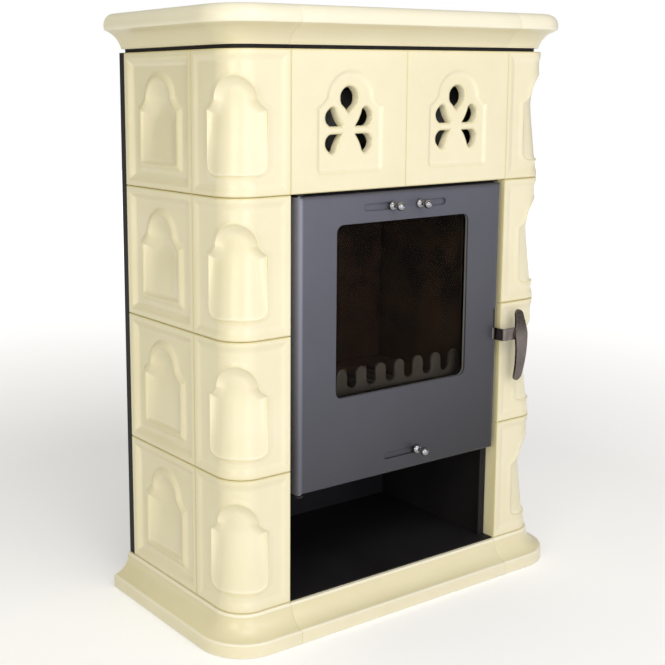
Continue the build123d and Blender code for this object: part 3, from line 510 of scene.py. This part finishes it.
def signed_distance(x, y, outline):
    """Distance to a closed outline, negative inside it."""
    a = np.asarray(outline, float)
    b = np.roll(a, -1, axis=0)
    shape = np.shape(x)
    px, py = np.ravel(x), np.ravel(y)
    best = np.full(px.shape, 1e9)
    inside = np.zeros(px.shape, bool)
    for (x0, y0), (x1, y1) in zip(a, b):
        ex, ey = x1 - x0, y1 - y0
        wx, wy = px - x0, py - y0
        t = np.clip((wx * ex + wy * ey) / max(ex * ex + ey * ey, 1e-12), 0.0, 1.0)
        best = np.minimum(best, (wx - t * ex) ** 2 + (wy - t * ey) ** 2)
        crosses = (y0 > py) != (y1 > py)
        if y1 != y0:
            inside ^= crosses & (px < (x1 - x0) * (py - y0) / (y1 - y0) + x0)
    distance = np.sqrt(best)
    return np.where(inside, -distance, distance).reshape(shape)


def lines(*spans):
    """Grid lines: (start, end, step) spans joined end to end."""
    out = [spans[0][0]]
    for start, end, step in spans:
        count = max(1, int(round((end - start) / step)))
        out += list(np.linspace(start, end, count + 1)[1:])
    return np.array(out)


def gather(depth, u, v):
    """Where glaze gathers in hollows, with painted shade (first result), and where it runs thin on
    edges, with a painted highlight (second), from the relief's curvature.
    """
    from_u = np.gradient(depth, u, axis=1)
    from_v = np.gradient(depth, v, axis=0)
    curve = np.gradient(from_u, u, axis=1) + np.gradient(from_v, v, axis=0)
    for _ in range(3):
        padded = np.pad(curve, 1, mode="edge")
        rows = padded[:-2, 1:-1] + padded[2:, 1:-1]
        curve = (rows + padded[1:-1, :-2] + padded[1:-1, 2:] + 2 * curve) / 6.0
    pool = np.clip(curve * GATHER_REACH, 0.0, 1.0)
    edge = np.clip(-curve * GATHER_REACH, 0.0, 1.0)
    return pool, edge


# ---------------------------------------------------------------- tiles


def arch_outline(half, corner, foot=0.0, top=ARCH_UP):
    """Shouldered arch over its foot line, of this half width, its lower corners rounded."""
    k = half / ARCH_HALF
    bend = 0.293 * corner
    shoulder, neck = (half, SHOULDER_UP), (45.5 * k, NECK_UP)
    right = arc_through((half - corner, foot), (half - bend, foot + bend), (half, foot + corner), 7)
    right += [shoulder]
    right += arc_through(shoulder, (53.5 * k, 104.5), neck, 6)[1:]
    right += arc_through(neck, (32.0 * k, 0.3 * NECK_UP + 0.7 * top), (0.0, top), 14)[1:]
    left = [(-x, y) for x, y in reversed(right[:-1])]
    return right + left


ARCH = arch_outline(ARCH_HALF, 6.0)
ARCH_BOWL = arch_outline(ARCH_HALF, 6.0, -60.0)
CORNER_ARCH = arch_outline(CORNER_ARCH_HALF, 16.0, top=CORNER_ARCH_UP)
CORNER_BOWL = arch_outline(CORNER_ARCH_HALF, 16.0, -9.0, top=CORNER_ARCH_UP)
LINES_V = lines(
    (0, 3, 0.6), (3, 16, 1.6), (16, 40, 1.0), (40, 122, 2.2),
    (122, 192, 1.3), (192, 208, 1.2), (208, 217, 1.6), (217, 220, 0.6),
)


def niche_depth(up):
    """Depth of the niche's floor at this height above its foot, softly bent at the shoulders."""
    rise, fall = NICHE_DEPTH - NICHE_FOOT_DEPTH, NICHE_DEPTH - NICHE_HEAD_DEPTH
    rising = NICHE_FOOT_DEPTH + rise * up / SHOULDER_UP
    falling = NICHE_DEPTH - fall * (up - SHOULDER_UP) / (ARCH_UP - SHOULDER_UP)
    mean = (rising + falling) / 2.0
    return mean - np.sqrt((rising - falling) ** 2 / 4.0 + 1.6) + 0.25


def tile_edges(u, v, width, height, beside=1.2):
    """Drop of a tile's rounded edges: tight where tiles stand side by side, softer between rows."""
    beside = round_over(np.minimum(u, width - u), beside)
    return np.maximum(beside, round_over(np.minimum(v, height - v), 1.9))


def scoop(distance, width):
    """Share of the full depth at this distance inside an edge: steep at first, level at the end."""
    t = np.clip(distance / width, 0.0, 1.0)
    return 1.0 - (1.0 - t) ** 2


def skirt(points, depth_at):
    """Points and faces that carry the rim of a grid backwards."""
    rows, columns = points.shape[:2]
    index = np.arange(rows * columns).reshape(rows, columns)
    loop = list(index[0, :]) + list(index[1:, -1])
    loop += list(index[-1, -2::-1]) + list(index[-2:0:-1, 0])
    flat = points.reshape(-1, 3)
    back = [depth_at(i) for i in loop]
    base = len(flat)
    faces = []
    count = len(loop)
    for k in range(count):
        nxt = (k + 1) % count
        faces.append((loop[nxt], loop[k], base + k, base + nxt))
    return np.array(back), faces


def side_tile_mesh():
    """Flat tile: framed field, raised rim and a hollowed niche. X across, Z up, Y into the wall."""
    width = SIDE_W - JOINT
    height = TILE_H - ROW_JOINT
    half = width / 2
    u = lines((0, 3, 0.6), (3, 27, 1.5), (27, half - 58, 0.8), (half - 58, half, 1.6))
    u = np.concatenate([u, width - u[-2::-1]])
    v = LINES_V * height / TILE_H
    gu, gv = np.meshgrid(u, v)
    x = gu - half
    border = np.minimum(np.minimum(gu, width - gu), np.minimum(gv, height - gv))
    field = SIDE_FIELD * smoothstep(9.0, 23.0, border)
    arch = signed_distance(x, gv - NICHE_FOOT, ARCH)
    level = field * (1.0 - 0.72 * smoothstep(5.0, -6.0, arch))
    up = np.clip(gv - NICHE_FOOT, 0.0, ARCH_UP)
    bowl = scoop(-9.0 - signed_distance(x, gv - NICHE_FOOT, ARCH_BOWL), 32.0)
    hollow = SIDE_RIM_DEPTH + (1.1 * niche_depth(up) - SIDE_RIM_DEPTH) * bowl
    inside = smoothstep(-8.4, -11.4, arch)
    depth = level * (1.0 - inside) + hollow * inside
    depth = depth + tile_edges(gu, gv, width, height)
    points = np.stack([x, depth, gv + ROW_JOINT / 2], -1)
    pool, edge = gather(depth, u, v)
    return points, pool, edge


def corner_tile_mesh():
    """Rounded tile with a niche that wraps the corner.

    The sharp corner is at the origin, with the legs along +X and +Y.
    """
    end = LEG - JOINT / 2
    straight = end - RADIUS
    arc = RADIUS * pi / 2
    total = 2 * straight + arc
    height = TILE_H - ROW_JOINT
    s = lines((0, 3, 0.6), (3, 30, 1.6), (30, 46, 0.8), (46, 72, 1.2), (72, total / 2, 1.9))
    s = np.concatenate([s, total - s[-2::-1]])
    v = LINES_V * height / TILE_H
    gs, gv = np.meshgrid(s, v)
    turn = np.clip((gs - straight) / RADIUS, 0.0, pi / 2)
    a = RADIUS - RADIUS * np.cos(turn) + np.clip(gs - straight - arc, 0.0, None)
    b = RADIUS - RADIUS * np.sin(turn) + np.clip(straight - gs, 0.0, None)
    nx, ny = np.cos(turn), np.sin(turn)
    across = (a - b) / sqrt(2)
    out = (a + b) / sqrt(2)
    border = np.minimum(np.minimum(gs, total - gs), np.minimum(gv, height - gv))
    field = CORNER_FIELD * smoothstep(6.0, 19.0, border)
    arch = signed_distance(across, gv - NICHE_FOOT, CORNER_ARCH)
    roll = smoothstep(9.0, 1.0, arch)
    up = np.clip(gv - NICHE_FOOT, 0.0, ARCH_UP)
    bowl = scoop(-signed_distance(across, gv - NICHE_FOOT, CORNER_BOWL), 18.0)
    inside = smoothstep(0.8, -1.4, arch)
    drop = np.maximum(field - roll, 0.0) * (1.0 - inside)
    drop = drop + tile_edges(gs, gv, total, height)
    sink = (CORNER_RIM_DEPTH + (niche_depth(up) - CORNER_RIM_DEPTH) * bowl) * inside
    x = a + nx * drop + sink / sqrt(2)
    y = b + ny * drop + sink / sqrt(2)
    points = np.stack([x, y, gv + ROW_JOINT / 2], -1)
    depth = drop + sink
    pool, edge = gather(depth, s, v)
    return points, pool, edge


def rosette_outlines():
    """Drop over four petals, heights from the tile's lower edge."""
    drop = [(0.0, 121.0), (16.0, 136.0)]
    drop += arc_through((16.0, 136.0), (17.8, 149.0), (0.0, 163.0), 12)[1:]
    drop += [(-x, y) for x, y in reversed(drop[1:-1])]
    flat, tip, inner, outer = 101.0, 131.0, 12.0, 48.0
    span = outer - inner
    petal = [(inner, flat), (outer - span * 0.3, flat)]
    petal += arc_through(petal[-1], (outer, flat + 12.6), (outer - span * 0.2, flat + 26.4), 9)[1:]
    over = (outer - span * 0.42, tip)
    petal += arc_through(petal[-1], over, (inner + span * 0.4, flat + 26.1), 7)[1:]
    petal += arc_through(petal[-1], (inner + span * 0.24, flat + 12.0), (inner, flat), 8)[1:-1]
    shapes = [drop]
    for mirror_x in (1, -1):
        for low in (False, True):
            shapes.append([(mirror_x * x, 190.0 - y if low else y) for x, y in petal])
    return shapes


def frieze_tile_mesh():
    """Flat tile with a shallow arch, pierced by the rosette."""
    width = FRIEZE_W - JOINT
    height = TILE_H - ROW_JOINT
    half = width / 2
    u = lines(
        (0, 3, 0.6), (3, half - 76, 3.0), (half - 76, half - 54, 1.1), (half - 54, half, 0.75)
    )
    u = np.concatenate([u, width - u[-2::-1]])
    v = lines(
        (0, 3, 0.6), (3, 27, 3.0), (27, 38, 0.9), (38, 54, 2.0),
        (54, 168, 0.75), (168, 192, 1.2), (192, 217, 3.0), (217, 220, 0.6),
    ) * height / TILE_H
    gu, gv = np.meshgrid(u, v)
    x = gu - half
    arch = signed_distance(x, gv - NICHE_FOOT, ARCH)
    holes = np.min([signed_distance(x, gv, shape) for shape in rosette_outlines()], axis=0)
    sunk = FRIEZE_SUNK * smoothstep(4.5, -4.5, arch)
    lip = round_over(np.maximum(holes, 0.0), 3.0)
    depth = sunk + tile_edges(gu, gv, width, height, 0.5) + lip
    su = np.gradient(holes, u, axis=1)
    sv = np.gradient(holes, v, axis=0)
    size = np.sqrt(su**2 + sv**2) + 1e-9
    near = np.abs(holes) < 0.62
    x = np.where(near, x - holes * su / size, x)
    up = np.where(near, gv - holes * sv / size, gv)
    pool, edge = gather(depth, u, v)
    gone = (holes < 0.0) & ~near
    return np.stack([x, depth, up + ROW_JOINT / 2], -1), pool, edge, gone


def framed(points, pool, edge, back_of, gone=None):
    """Grid with its rim carried back, and walls in its holes."""
    rows, columns = points.shape[:2]
    faces = grid_faces(rows, columns)
    flat = points.reshape(-1, 3)
    back, sides = skirt(points, lambda i: back_of(flat[i]))
    verts = [flat, back]
    pools_and_painted_shade = [pool.ravel(), np.zeros(len(back))]
    edges = [edge.ravel(), np.zeros(len(back))]
    all_faces = [tuple(f) for f in faces]
    if gone is not None:
        lost = gone.ravel()
        all_faces = [f for f in all_faces if not any(lost[i] for i in f)]
        count = {}
        for f in all_faces:
            for k in range(4):
                e = (f[k], f[(k + 1) % 4])
                key = tuple(sorted(e))
                count.setdefault(key, []).append(e)
        rim = {i for f in sides for i in f if i < len(flat)}
        open_edges = [e[0] for e in count.values() if len(e) == 1]
        inner = [e for e in open_edges if not (e[0] in rim and e[1] in rim)]
        base = len(flat) + len(back)
        used = sorted({i for e in inner for i in e})
        place = {i: base + k for k, i in enumerate(used)}
        verts.append(np.array([flat[i] + np.array([0.0, ROSETTE_WALL, 0.0]) for i in used]))
        pools_and_painted_shade.append(np.zeros(len(used)))
        edges.append(np.zeros(len(used)))
        sides = list(sides) + [(b, a, place[a], place[b]) for a, b in inner]
    looks = {"pool": np.concatenate(pools_and_painted_shade), "edge": np.concatenate(edges)}
    return np.concatenate(verts), all_faces + list(sides), looks


def straight_back(p):
    return (p[0], TILE_DEPTH, p[2])


def corner_back(p):
    """Where a corner tile's rim meets its back: straight on the legs, round in the corner."""
    reach = LEG - JOINT / 2 - 0.01
    if p[0] >= reach:
        return (p[0], TILE_DEPTH, p[2])
    if p[1] >= reach:
        return (TILE_DEPTH, p[1], p[2])
    centre = np.array([RADIUS, RADIUS])
    arm = np.clip(centre - p[:2], 0.0, None)
    length = max(np.hypot(*arm), 1e-6)
    if arm[0] == 0.0:
        return (p[0], TILE_DEPTH, p[2])
    if arm[1] == 0.0:
        return (TILE_DEPTH, p[1], p[2])
    q = centre - arm / length * (RADIUS - TILE_DEPTH)
    return (q[0], q[1], p[2])


def place_column(kind, side, verts, faces, looks, y):
    """Four tiles over each other that share one mesh."""
    mesh = new_mesh(f"glazed_{kind}_{side}_1", verts, faces, GLAZE, attributes=looks)
    for row in range(ROWS):
        name = f"{kind}_{side}_{row + 1}"
        obj = link_object(f"glazed_{name}", mesh)
        obj.location = (0.0, y * MM, (PLINTH_TOP + row * TILE_H) * MM)
        stand_for(obj, name)


def build_tiles():
    verts, faces, looks = framed(*side_tile_mesh(), straight_back)
    for side, sign in (("left", -1), ("right", 1)):
        turned = np.array([(sign * (BODY_HALF - y), -sign * x, z) for x, y, z in verts])
        place_column("side_tile", side, turned, faces, looks, FRONT_Y + LEG + SIDE_W / 2)

    verts, faces, looks = framed(*corner_tile_mesh(), corner_back)
    for side, sign in (("left", -1), ("right", 1)):
        placed = np.array([(sign * (BODY_HALF - x), y, z) for x, y, z in verts])
        order = faces if sign < 0 else [tuple(reversed(f)) for f in faces]
        place_column("corner_tile", side, placed, order, looks, FRONT_Y)

    points, pool, edge, gone = frieze_tile_mesh()
    verts, faces, looks = framed(points, pool, edge, straight_back, gone)
    mesh = new_mesh("glazed_frieze_tile_left", verts, faces, GLAZE, attributes=looks)
    for side, sign in (("left", -1), ("right", 1)):
        name = f"frieze_tile_{side}"
        obj = link_object(f"glazed_{name}", mesh)
        obj.location = (sign * FRIEZE_W / 2 * MM, FRONT_Y * MM, (TILE_TOP - TILE_H) * MM)
        stand_for(obj, name)


# ---------------------------------------------------------------- plinth and cornice


def cornice_profile():
    """Closed outline (outwards, up): inner top edge, nose, cove and hollow."""
    nose = [(8.0 + 20.0 * cos(t), 38.0 + 20.0 * sin(t)) for t in np.linspace(pi / 2, -0.30, 22)]
    under = arc_through(nose[-1], (26.6, 31.0), (25.6, 30.4), 4)[1:]
    cove = arc_through((15.6, 26.2), (1.4, 13.2), (-4.4, 1.6), 16)
    return [(-46.0, 57.0), (-45.7, 57.7), (-45.0, 58.0)] + nose + under + cove + [
        (-4.7, 0.5), (-5.6, 0.0), (-24.0, 0.0), (-24.0, 15.0), (-7.5, 15.0), (7.5, 43.0),
        (-31.0, 43.0), (-31.0, 0.0), (-46.0, 0.0)]


def plinth_profile():
    """Closed outline (outwards, up): inner top edge, cove, lip and hollow."""
    cove = arc_through((4.2, 57.4), (10.5, 36.0), (31.0, 24.0), 20)
    lip = arc_through((31.0, 24.0), (32.5, 22.9), (33.0, 21.0), 5)[1:]
    foot = arc_through((33.0, 3.0), (32.2, 0.8), (30.0, 0.0), 6)
    top = arc_through((1.6, 60.0), (3.4, 59.3), (4.2, 57.4), 5)
    return [(-34.0, 60.0)] + top[:-1] + cove + lip + foot + [
        (18.0, 0.0), (18.0, 7.5), (-7.5, 45.0), (-34.0, 45.0)]


def path_stations(part):
    """Plan points with outward directions, at the sharp tile line, for one piece of a moulding."""
    seam = FRIEZE_W
    if part == "front":
        run = np.linspace(JOINT / 2 - seam, seam - JOINT / 2, 12)
        return [((x, FRONT_Y), (0.0, -1.0)) for x in run]
    stations = [((-BODY_HALF, FRONT_Y + d), (-1.0, 0.0)) for d in (REAR, 220.0, 120.0, RADIUS)]
    for t in np.linspace(0.0, pi / 2, 25)[1:]:
        away = (-cos(t), -sin(t))
        x = RADIUS - BODY_HALF + RADIUS * away[0]
        stations.append(((x, FRONT_Y + RADIUS + RADIUS * away[1]), away))
    stations += [((x, FRONT_Y), (0.0, -1.0)) for x in (-270.0, -seam - JOINT / 2)]
    if part == "right":
        stations = [((-x, y), (-nx, ny)) for (x, y), (nx, ny) in reversed(stations)]
    return stations


# Rounded edge at a seam: distance from it and drop of the surface.
SEAM = ((0.0, 0.9), (0.25, 0.42), (0.7, 0.12), (1.4, 0.0))


def seam_ends(part, stations):
    """Stations with the glazed edges at a seam drawn in: (point, outwards, drop)."""
    rows = [(point, away, 0.0) for point, away in stations]

    def drawn(edge, inner):
        (x, y), away = edge
        step = np.sign(inner[0][0] - x)
        return [((x + step * shift, y), away, drop) for shift, drop in SEAM]

    if part in ("front", "right"):
        rows = drawn(stations[0], stations[1]) + rows[1:]
    if part in ("front", "left"):
        rows = rows[:-1] + drawn(stations[-1], stations[-2])[::-1]
    return rows


def moulding(profile, base, prefix):
    """Three glazed pieces with this outline, swept round the front and the sides."""
    profile = np.asarray(profile, float)
    leaving = np.roll(profile, -1, axis=0) - profile
    arriving = np.roll(leaving, 1, axis=0)
    tangent = leaving + arriving
    normal = np.stack([-tangent[:, 1], tangent[:, 0]], -1)
    normal /= np.hypot(normal[:, 0], normal[:, 1])[:, None]
    turn = np.arctan2(leaving[:, 1], leaving[:, 0])
    turn = turn - np.arctan2(arriving[:, 1], arriving[:, 0])
    turn = (turn + pi) % (2 * pi) - pi
    bend = turn / (0.5 * (np.hypot(*leaving.T) + np.hypot(*arriving.T)))
    count = len(profile)
    for part in ("left", "front", "right"):
        rows = []
        for (x, y), (nx, ny), drop in seam_ends(part, path_stations(part)):
            out, up = (profile - normal * drop).T
            rows.append(np.stack([x + nx * out, y + ny * out, base + up], -1))
        points = np.array(rows)
        last = (len(rows) - 1) * count
        faces = []
        for row in range(len(rows) - 1):
            for k in range(count):
                here, after = row * count + k, row * count + (k + 1) % count
                faces.append((here, here + count, after + count, after))
        faces.append(tuple(range(count)))
        faces.append(tuple(last + k for k in reversed(range(count))))
        # Glaze marks from the profile's bend: painted shade with the glaze gathering in its
        # hollows, a painted highlight with the glaze running thin on its edges.
        pool = np.tile(np.clip(bend * 12.0, 0.0, 1.0), len(rows))
        edge = np.tile(np.clip(-bend * 12.0, 0.0, 0.8), len(rows))
        obj = new_object(f"glazed_{prefix}_{part}", points.reshape(-1, 3), faces, GLAZE,
                         attributes={"pool": pool, "edge": edge}, sharp=50)
        stand_for(obj, f"{prefix}_{part}")


# ---------------------------------------------------------------- turned knobs and slides


def lathe(profile, centre, sides=48):
    """Turned form about a line along Y: profile of (radius, y), centre (x, z)."""
    verts, faces = [], []
    for radius, y in profile:
        for k in range(sides):
            t = 2 * pi * k / sides
            verts.append((centre[0] + radius * cos(t), y, centre[1] + radius * sin(t)))
    for r in range(len(profile) - 1):
        for k in range(sides):
            n = (k + 1) % sides
            low, high = r * sides, (r + 1) * sides
            faces.append((low + k, low + n, high + n, high + k))
    faces.append(tuple(range(sides))[::-1])
    faces.append(tuple((len(profile) - 1) * sides + k for k in range(sides)))
    return verts, faces


def knob_profile():
    """Stem, collar and ball: (radius, y)."""
    face = FRONT_Y - 2.3
    ball = FRONT_Y - KNOB_STAND
    points = [(3.0, face + 3.6), (3.0, face + 0.02), (7.2, face), (7.9, face - 0.6)]
    points += [(8.0 * cos(t), face - 1.6 - 5.6 * sin(t)) for t in np.linspace(0.0, 1.12, 9)]
    points += [(3.2, face - 7.0), (2.9, face - 8.0), (2.9, face - 10.0), (3.4, ball + 6.6)]
    turns = np.linspace(-1.05, pi / 2 - 0.04, 20)
    points += [(KNOB_BALL * cos(t), ball - KNOB_BALL * sin(t)) for t in turns]
    return points


def rounded_plate(x0, x1, y0, y1, z0, z1, corner=3.0, bevel=0.4):
    """Flat plate with rounded corners and a small bevel, thin along Y."""
    rims = []
    for inset, y in ((bevel, y0), (0.0, y0 + bevel), (0.0, y1 - bevel), (bevel, y1)):
        rim = []
        for cx, cz, start in ((x1 - corner, z1 - corner, 0), (x0 + corner, z1 - corner, 90),
                              (x0 + corner, z0 + corner, 180), (x1 - corner, z0 + corner, 270)):
            for t in np.linspace(radians(start), radians(start + 90), 6):
                rim.append((cx + (corner - inset) * cos(t), y, cz + (corner - inset) * sin(t)))
        rims.append(rim)
    count = len(rims[0])
    faces = [tuple(range(count))]
    for r in range(len(rims) - 1):
        for k in range(count):
            n = (k + 1) % count
            low, high = r * count, (r + 1) * count
            faces.append((low + k, high + k, high + n, low + n))
    faces.append(tuple((len(rims) - 1) * count + k for k in reversed(range(count))))
    return [p for rim in rims for p in rim], faces


def build_slides():
    """A turned knob at x, z and a plate of this middle and length for each slide."""
    for node, x, z, middle, length in (
        ("air_slide_left", -30.0, 691.5, -57.0, 88.0),
        ("air_slide_right", 30.0, 691.5, 57.0, 88.0),
        ("air_slide_foot", 34.0, 269.0, 0.0, 100.0),
    ):
        knob = lathe(knob_profile(), (x, z))
        stand_for(new_object(f"turned_{node}", *knob, CHROME, sharp=38), node, node)
        plate = rounded_plate(
            middle - length / 2, middle + length / 2,
            FRONT_Y + 1.3, FRONT_Y + 3.3, z - 10.0, z + 10.0,
        )
        stand_for(new_object(f"plate_{node}", *plate, DOOR, sharp=38), node, node)


# ---------------------------------------------------------------- rope seal of the door


def rope_loop(name, node, body, half_x, low, high, corner, y, radius):
    """Round rope laid in a rounded rectangle, with the strands of its weave raised."""
    path = []
    right, left, upper, lower = half_x - corner, corner - half_x, high - corner, low + corner
    turns = ((right, upper, 0), (left, upper, 90), (left, lower, 180), (right, lower, 270))
    for cx, cz, start in turns:
        for t in np.linspace(radians(start), radians(start + 90), 9):
            path.append((cx + corner * cos(t), cz + corner * sin(t)))
    path = np.array(path + path[:1])
    gaps = np.hypot(*np.diff(path, axis=0).T)
    reach = np.concatenate([[0.0], np.cumsum(gaps)])
    steps = int(reach[-1] / 2.2)
    along = np.linspace(0.0, reach[-1], steps, endpoint=False)
    px = np.interp(along, reach, path[:, 0])
    pz = np.interp(along, reach, path[:, 1])
    tx = np.roll(px, -1) - np.roll(px, 1)
    tz = np.roll(pz, -1) - np.roll(pz, 1)
    size = np.hypot(tx, tz)
    nx, nz = tz / size, -tx / size
    sides = 12
    verts = []
    for k in range(steps):
        for j in range(sides):
            t = 2 * pi * j / sides
            lay = along[k] / ROPE_TWIST * 2 * pi
            weave = 1.0 + 0.05 * cos(4 * t + lay) + 0.05 * cos(4 * t - lay)
            r = radius * weave * 0.93
            verts.append((px[k] + nx[k] * r * cos(t), y + r * sin(t), pz[k] + nz[k] * r * cos(t)))
    faces = []
    for k in range(steps):
        for j in range(sides):
            a, b = k * sides + j, k * sides + (j + 1) % sides
            c, d = ((k + 1) % steps) * sides + (j + 1) % sides, ((k + 1) % steps) * sides + j
            faces.append((a, b, c, d))
    obj = new_object(name, verts, faces, ROPE)
    stand_for(obj, node, body)


build_tiles()
moulding(cornice_profile(), CORNICE_FOOT, "cornice")
moulding(plinth_profile(), 0.0, "plinth")
build_slides()
rope_loop(
    "rope_door_seal", "door_seal", "door",
    half_x=198.0, low=248.0, high=704.0, corner=16.0, y=FRONT_Y + 18.3, radius=5.2,
)

# ---------------------------------------------------------------- floor, light and camera


def stage_material():
    """Pale floor, white far away in every view, with the shadow kept round the stove."""
    s = Shader("floor")
    path = s.new("ShaderNodeLightPath")
    in_gloss, in_glass = path.outputs["Is Glossy Ray"], path.outputs["Is Transmission Ray"]
    mirrored = s.math("MAXIMUM", in_gloss, in_glass)
    seen = s.math("MAXIMUM", path.outputs["Is Camera Ray"], mirrored)
    reach = s.new("ShaderNodeVectorMath", operation="LENGTH")
    s.link(s.coord, reach.inputs[0])
    far = s.fit(reach.outputs["Value"], 0.9, 4.0, 0.30, 1.0)
    grain = s.noise(3.0, 4.0, 0.5)
    s.set(
        Base_Color=s.mix(grain, (0.80, 0.80, 0.79), (0.83, 0.83, 0.82)),
        Roughness=0.9,
        Emission_Color=(1.0, 1.0, 1.0),
        Emission_Strength=s.math("MULTIPLY", seen, far),
    )
    s.bsdf.inputs["Specular IOR Level"].default_value = 0.1
    return s.mat


def add_floor():
    half = 9000
    corners = [(-half, -half, 0), (half, -half, 0), (half, half, 0), (-half, half, 0)]
    obj = new_object("floor", corners, [(0, 1, 2, 3)], stage_material(), smooth=False)


def add_world():
    world = bpy.data.worlds.new("studio")
    bpy.context.scene.world = world
    world.use_nodes = True
    tree = world.node_tree
    tree.nodes.clear()
    out = tree.nodes.new("ShaderNodeOutputWorld")
    blend = tree.nodes.new("ShaderNodeMixShader")
    plain = tree.nodes.new("ShaderNodeBackground")
    shown = tree.nodes.new("ShaderNodeBackground")
    path = tree.nodes.new("ShaderNodeLightPath")
    plain.inputs["Color"].default_value = (1.0, 0.98, 0.93, 1.0)
    plain.inputs["Strength"].default_value = 0.36
    shown.inputs["Color"].default_value = (1.0, 1.0, 1.0, 1.0)
    shown.inputs["Strength"].default_value = 1.0
    tree.links.new(path.outputs["Is Camera Ray"], blend.inputs[0])
    tree.links.new(plain.outputs[0], blend.inputs[1])
    tree.links.new(shown.outputs[0], blend.inputs[2])
    tree.links.new(blend.outputs[0], out.inputs["Surface"])


def add_light(name, place, target, size, power, color=(1.0, 1.0, 1.0)):
    data = bpy.data.lights.new(name, "AREA")
    data.shape = "RECTANGLE"
    data.size, data.size_y = size
    data.energy = power
    data.color = color
    obj = bpy.data.objects.new(name, data)
    obj.location = place
    obj.rotation_euler = (Vector(target) - Vector(place)).to_track_quat("-Z", "Y").to_euler()
    bpy.context.scene.collection.objects.link(obj)


def add_camera():
    focal, cx, cy = 1165.0, 234.4, 280.0
    yaw, pitch, roll = radians(34.307), radians(-9.62), radians(-0.364)
    data = bpy.data.cameras.new("camera")
    data.sensor_width = SENSOR
    data.lens = focal / PHOTO * SENSOR
    data.shift_x = (PHOTO / 2 - cx) / PHOTO
    data.shift_y = (cy - PHOTO / 2) / PHOTO
    data.clip_end = 100.0
    obj = bpy.data.objects.new("camera", data)
    turn = Matrix.Rotation(-yaw, 4, "Z") @ Matrix.Rotation(pi / 2 + pitch, 4, "X")
    turn = turn @ Matrix.Rotation(roll, 4, "Z")
    obj.matrix_world = Matrix.Translation((-1.3054, -1.5899, 0.8900)) @ turn
    bpy.context.scene.collection.objects.link(obj)
    bpy.context.scene.camera = obj


add_floor()
add_world()
add_light("key", (0.95, -3.45, 1.65), (0.0, -0.1, 0.5), (2.0, 1.7), 25.5, (0.86, 0.85, 1.0))
add_light("front_left", (-1.0, -3.6, 0.9), (0.0, 0.0, 0.5), (1.6, 1.6), 27.0, (0.89, 0.87, 1.0))
add_light("side", (-3.0, -1.7, 1.3), (0.0, 0.0, 0.45), (1.6, 2.0), 33.5, (1.0, 0.955, 0.79))
add_light("above", (-0.7, -2.3, 2.9), (0.0, -0.2, 0.1), (2.0, 1.2), 31.5, (1.0, 0.985, 0.94))
add_light("top", (0.0, 0.5, 3.2), (0.0, 0.0, 0.6), (2.4, 2.0), 6.0)
add_camera()
bpy.context.scene.view_settings.view_transform = "Standard"
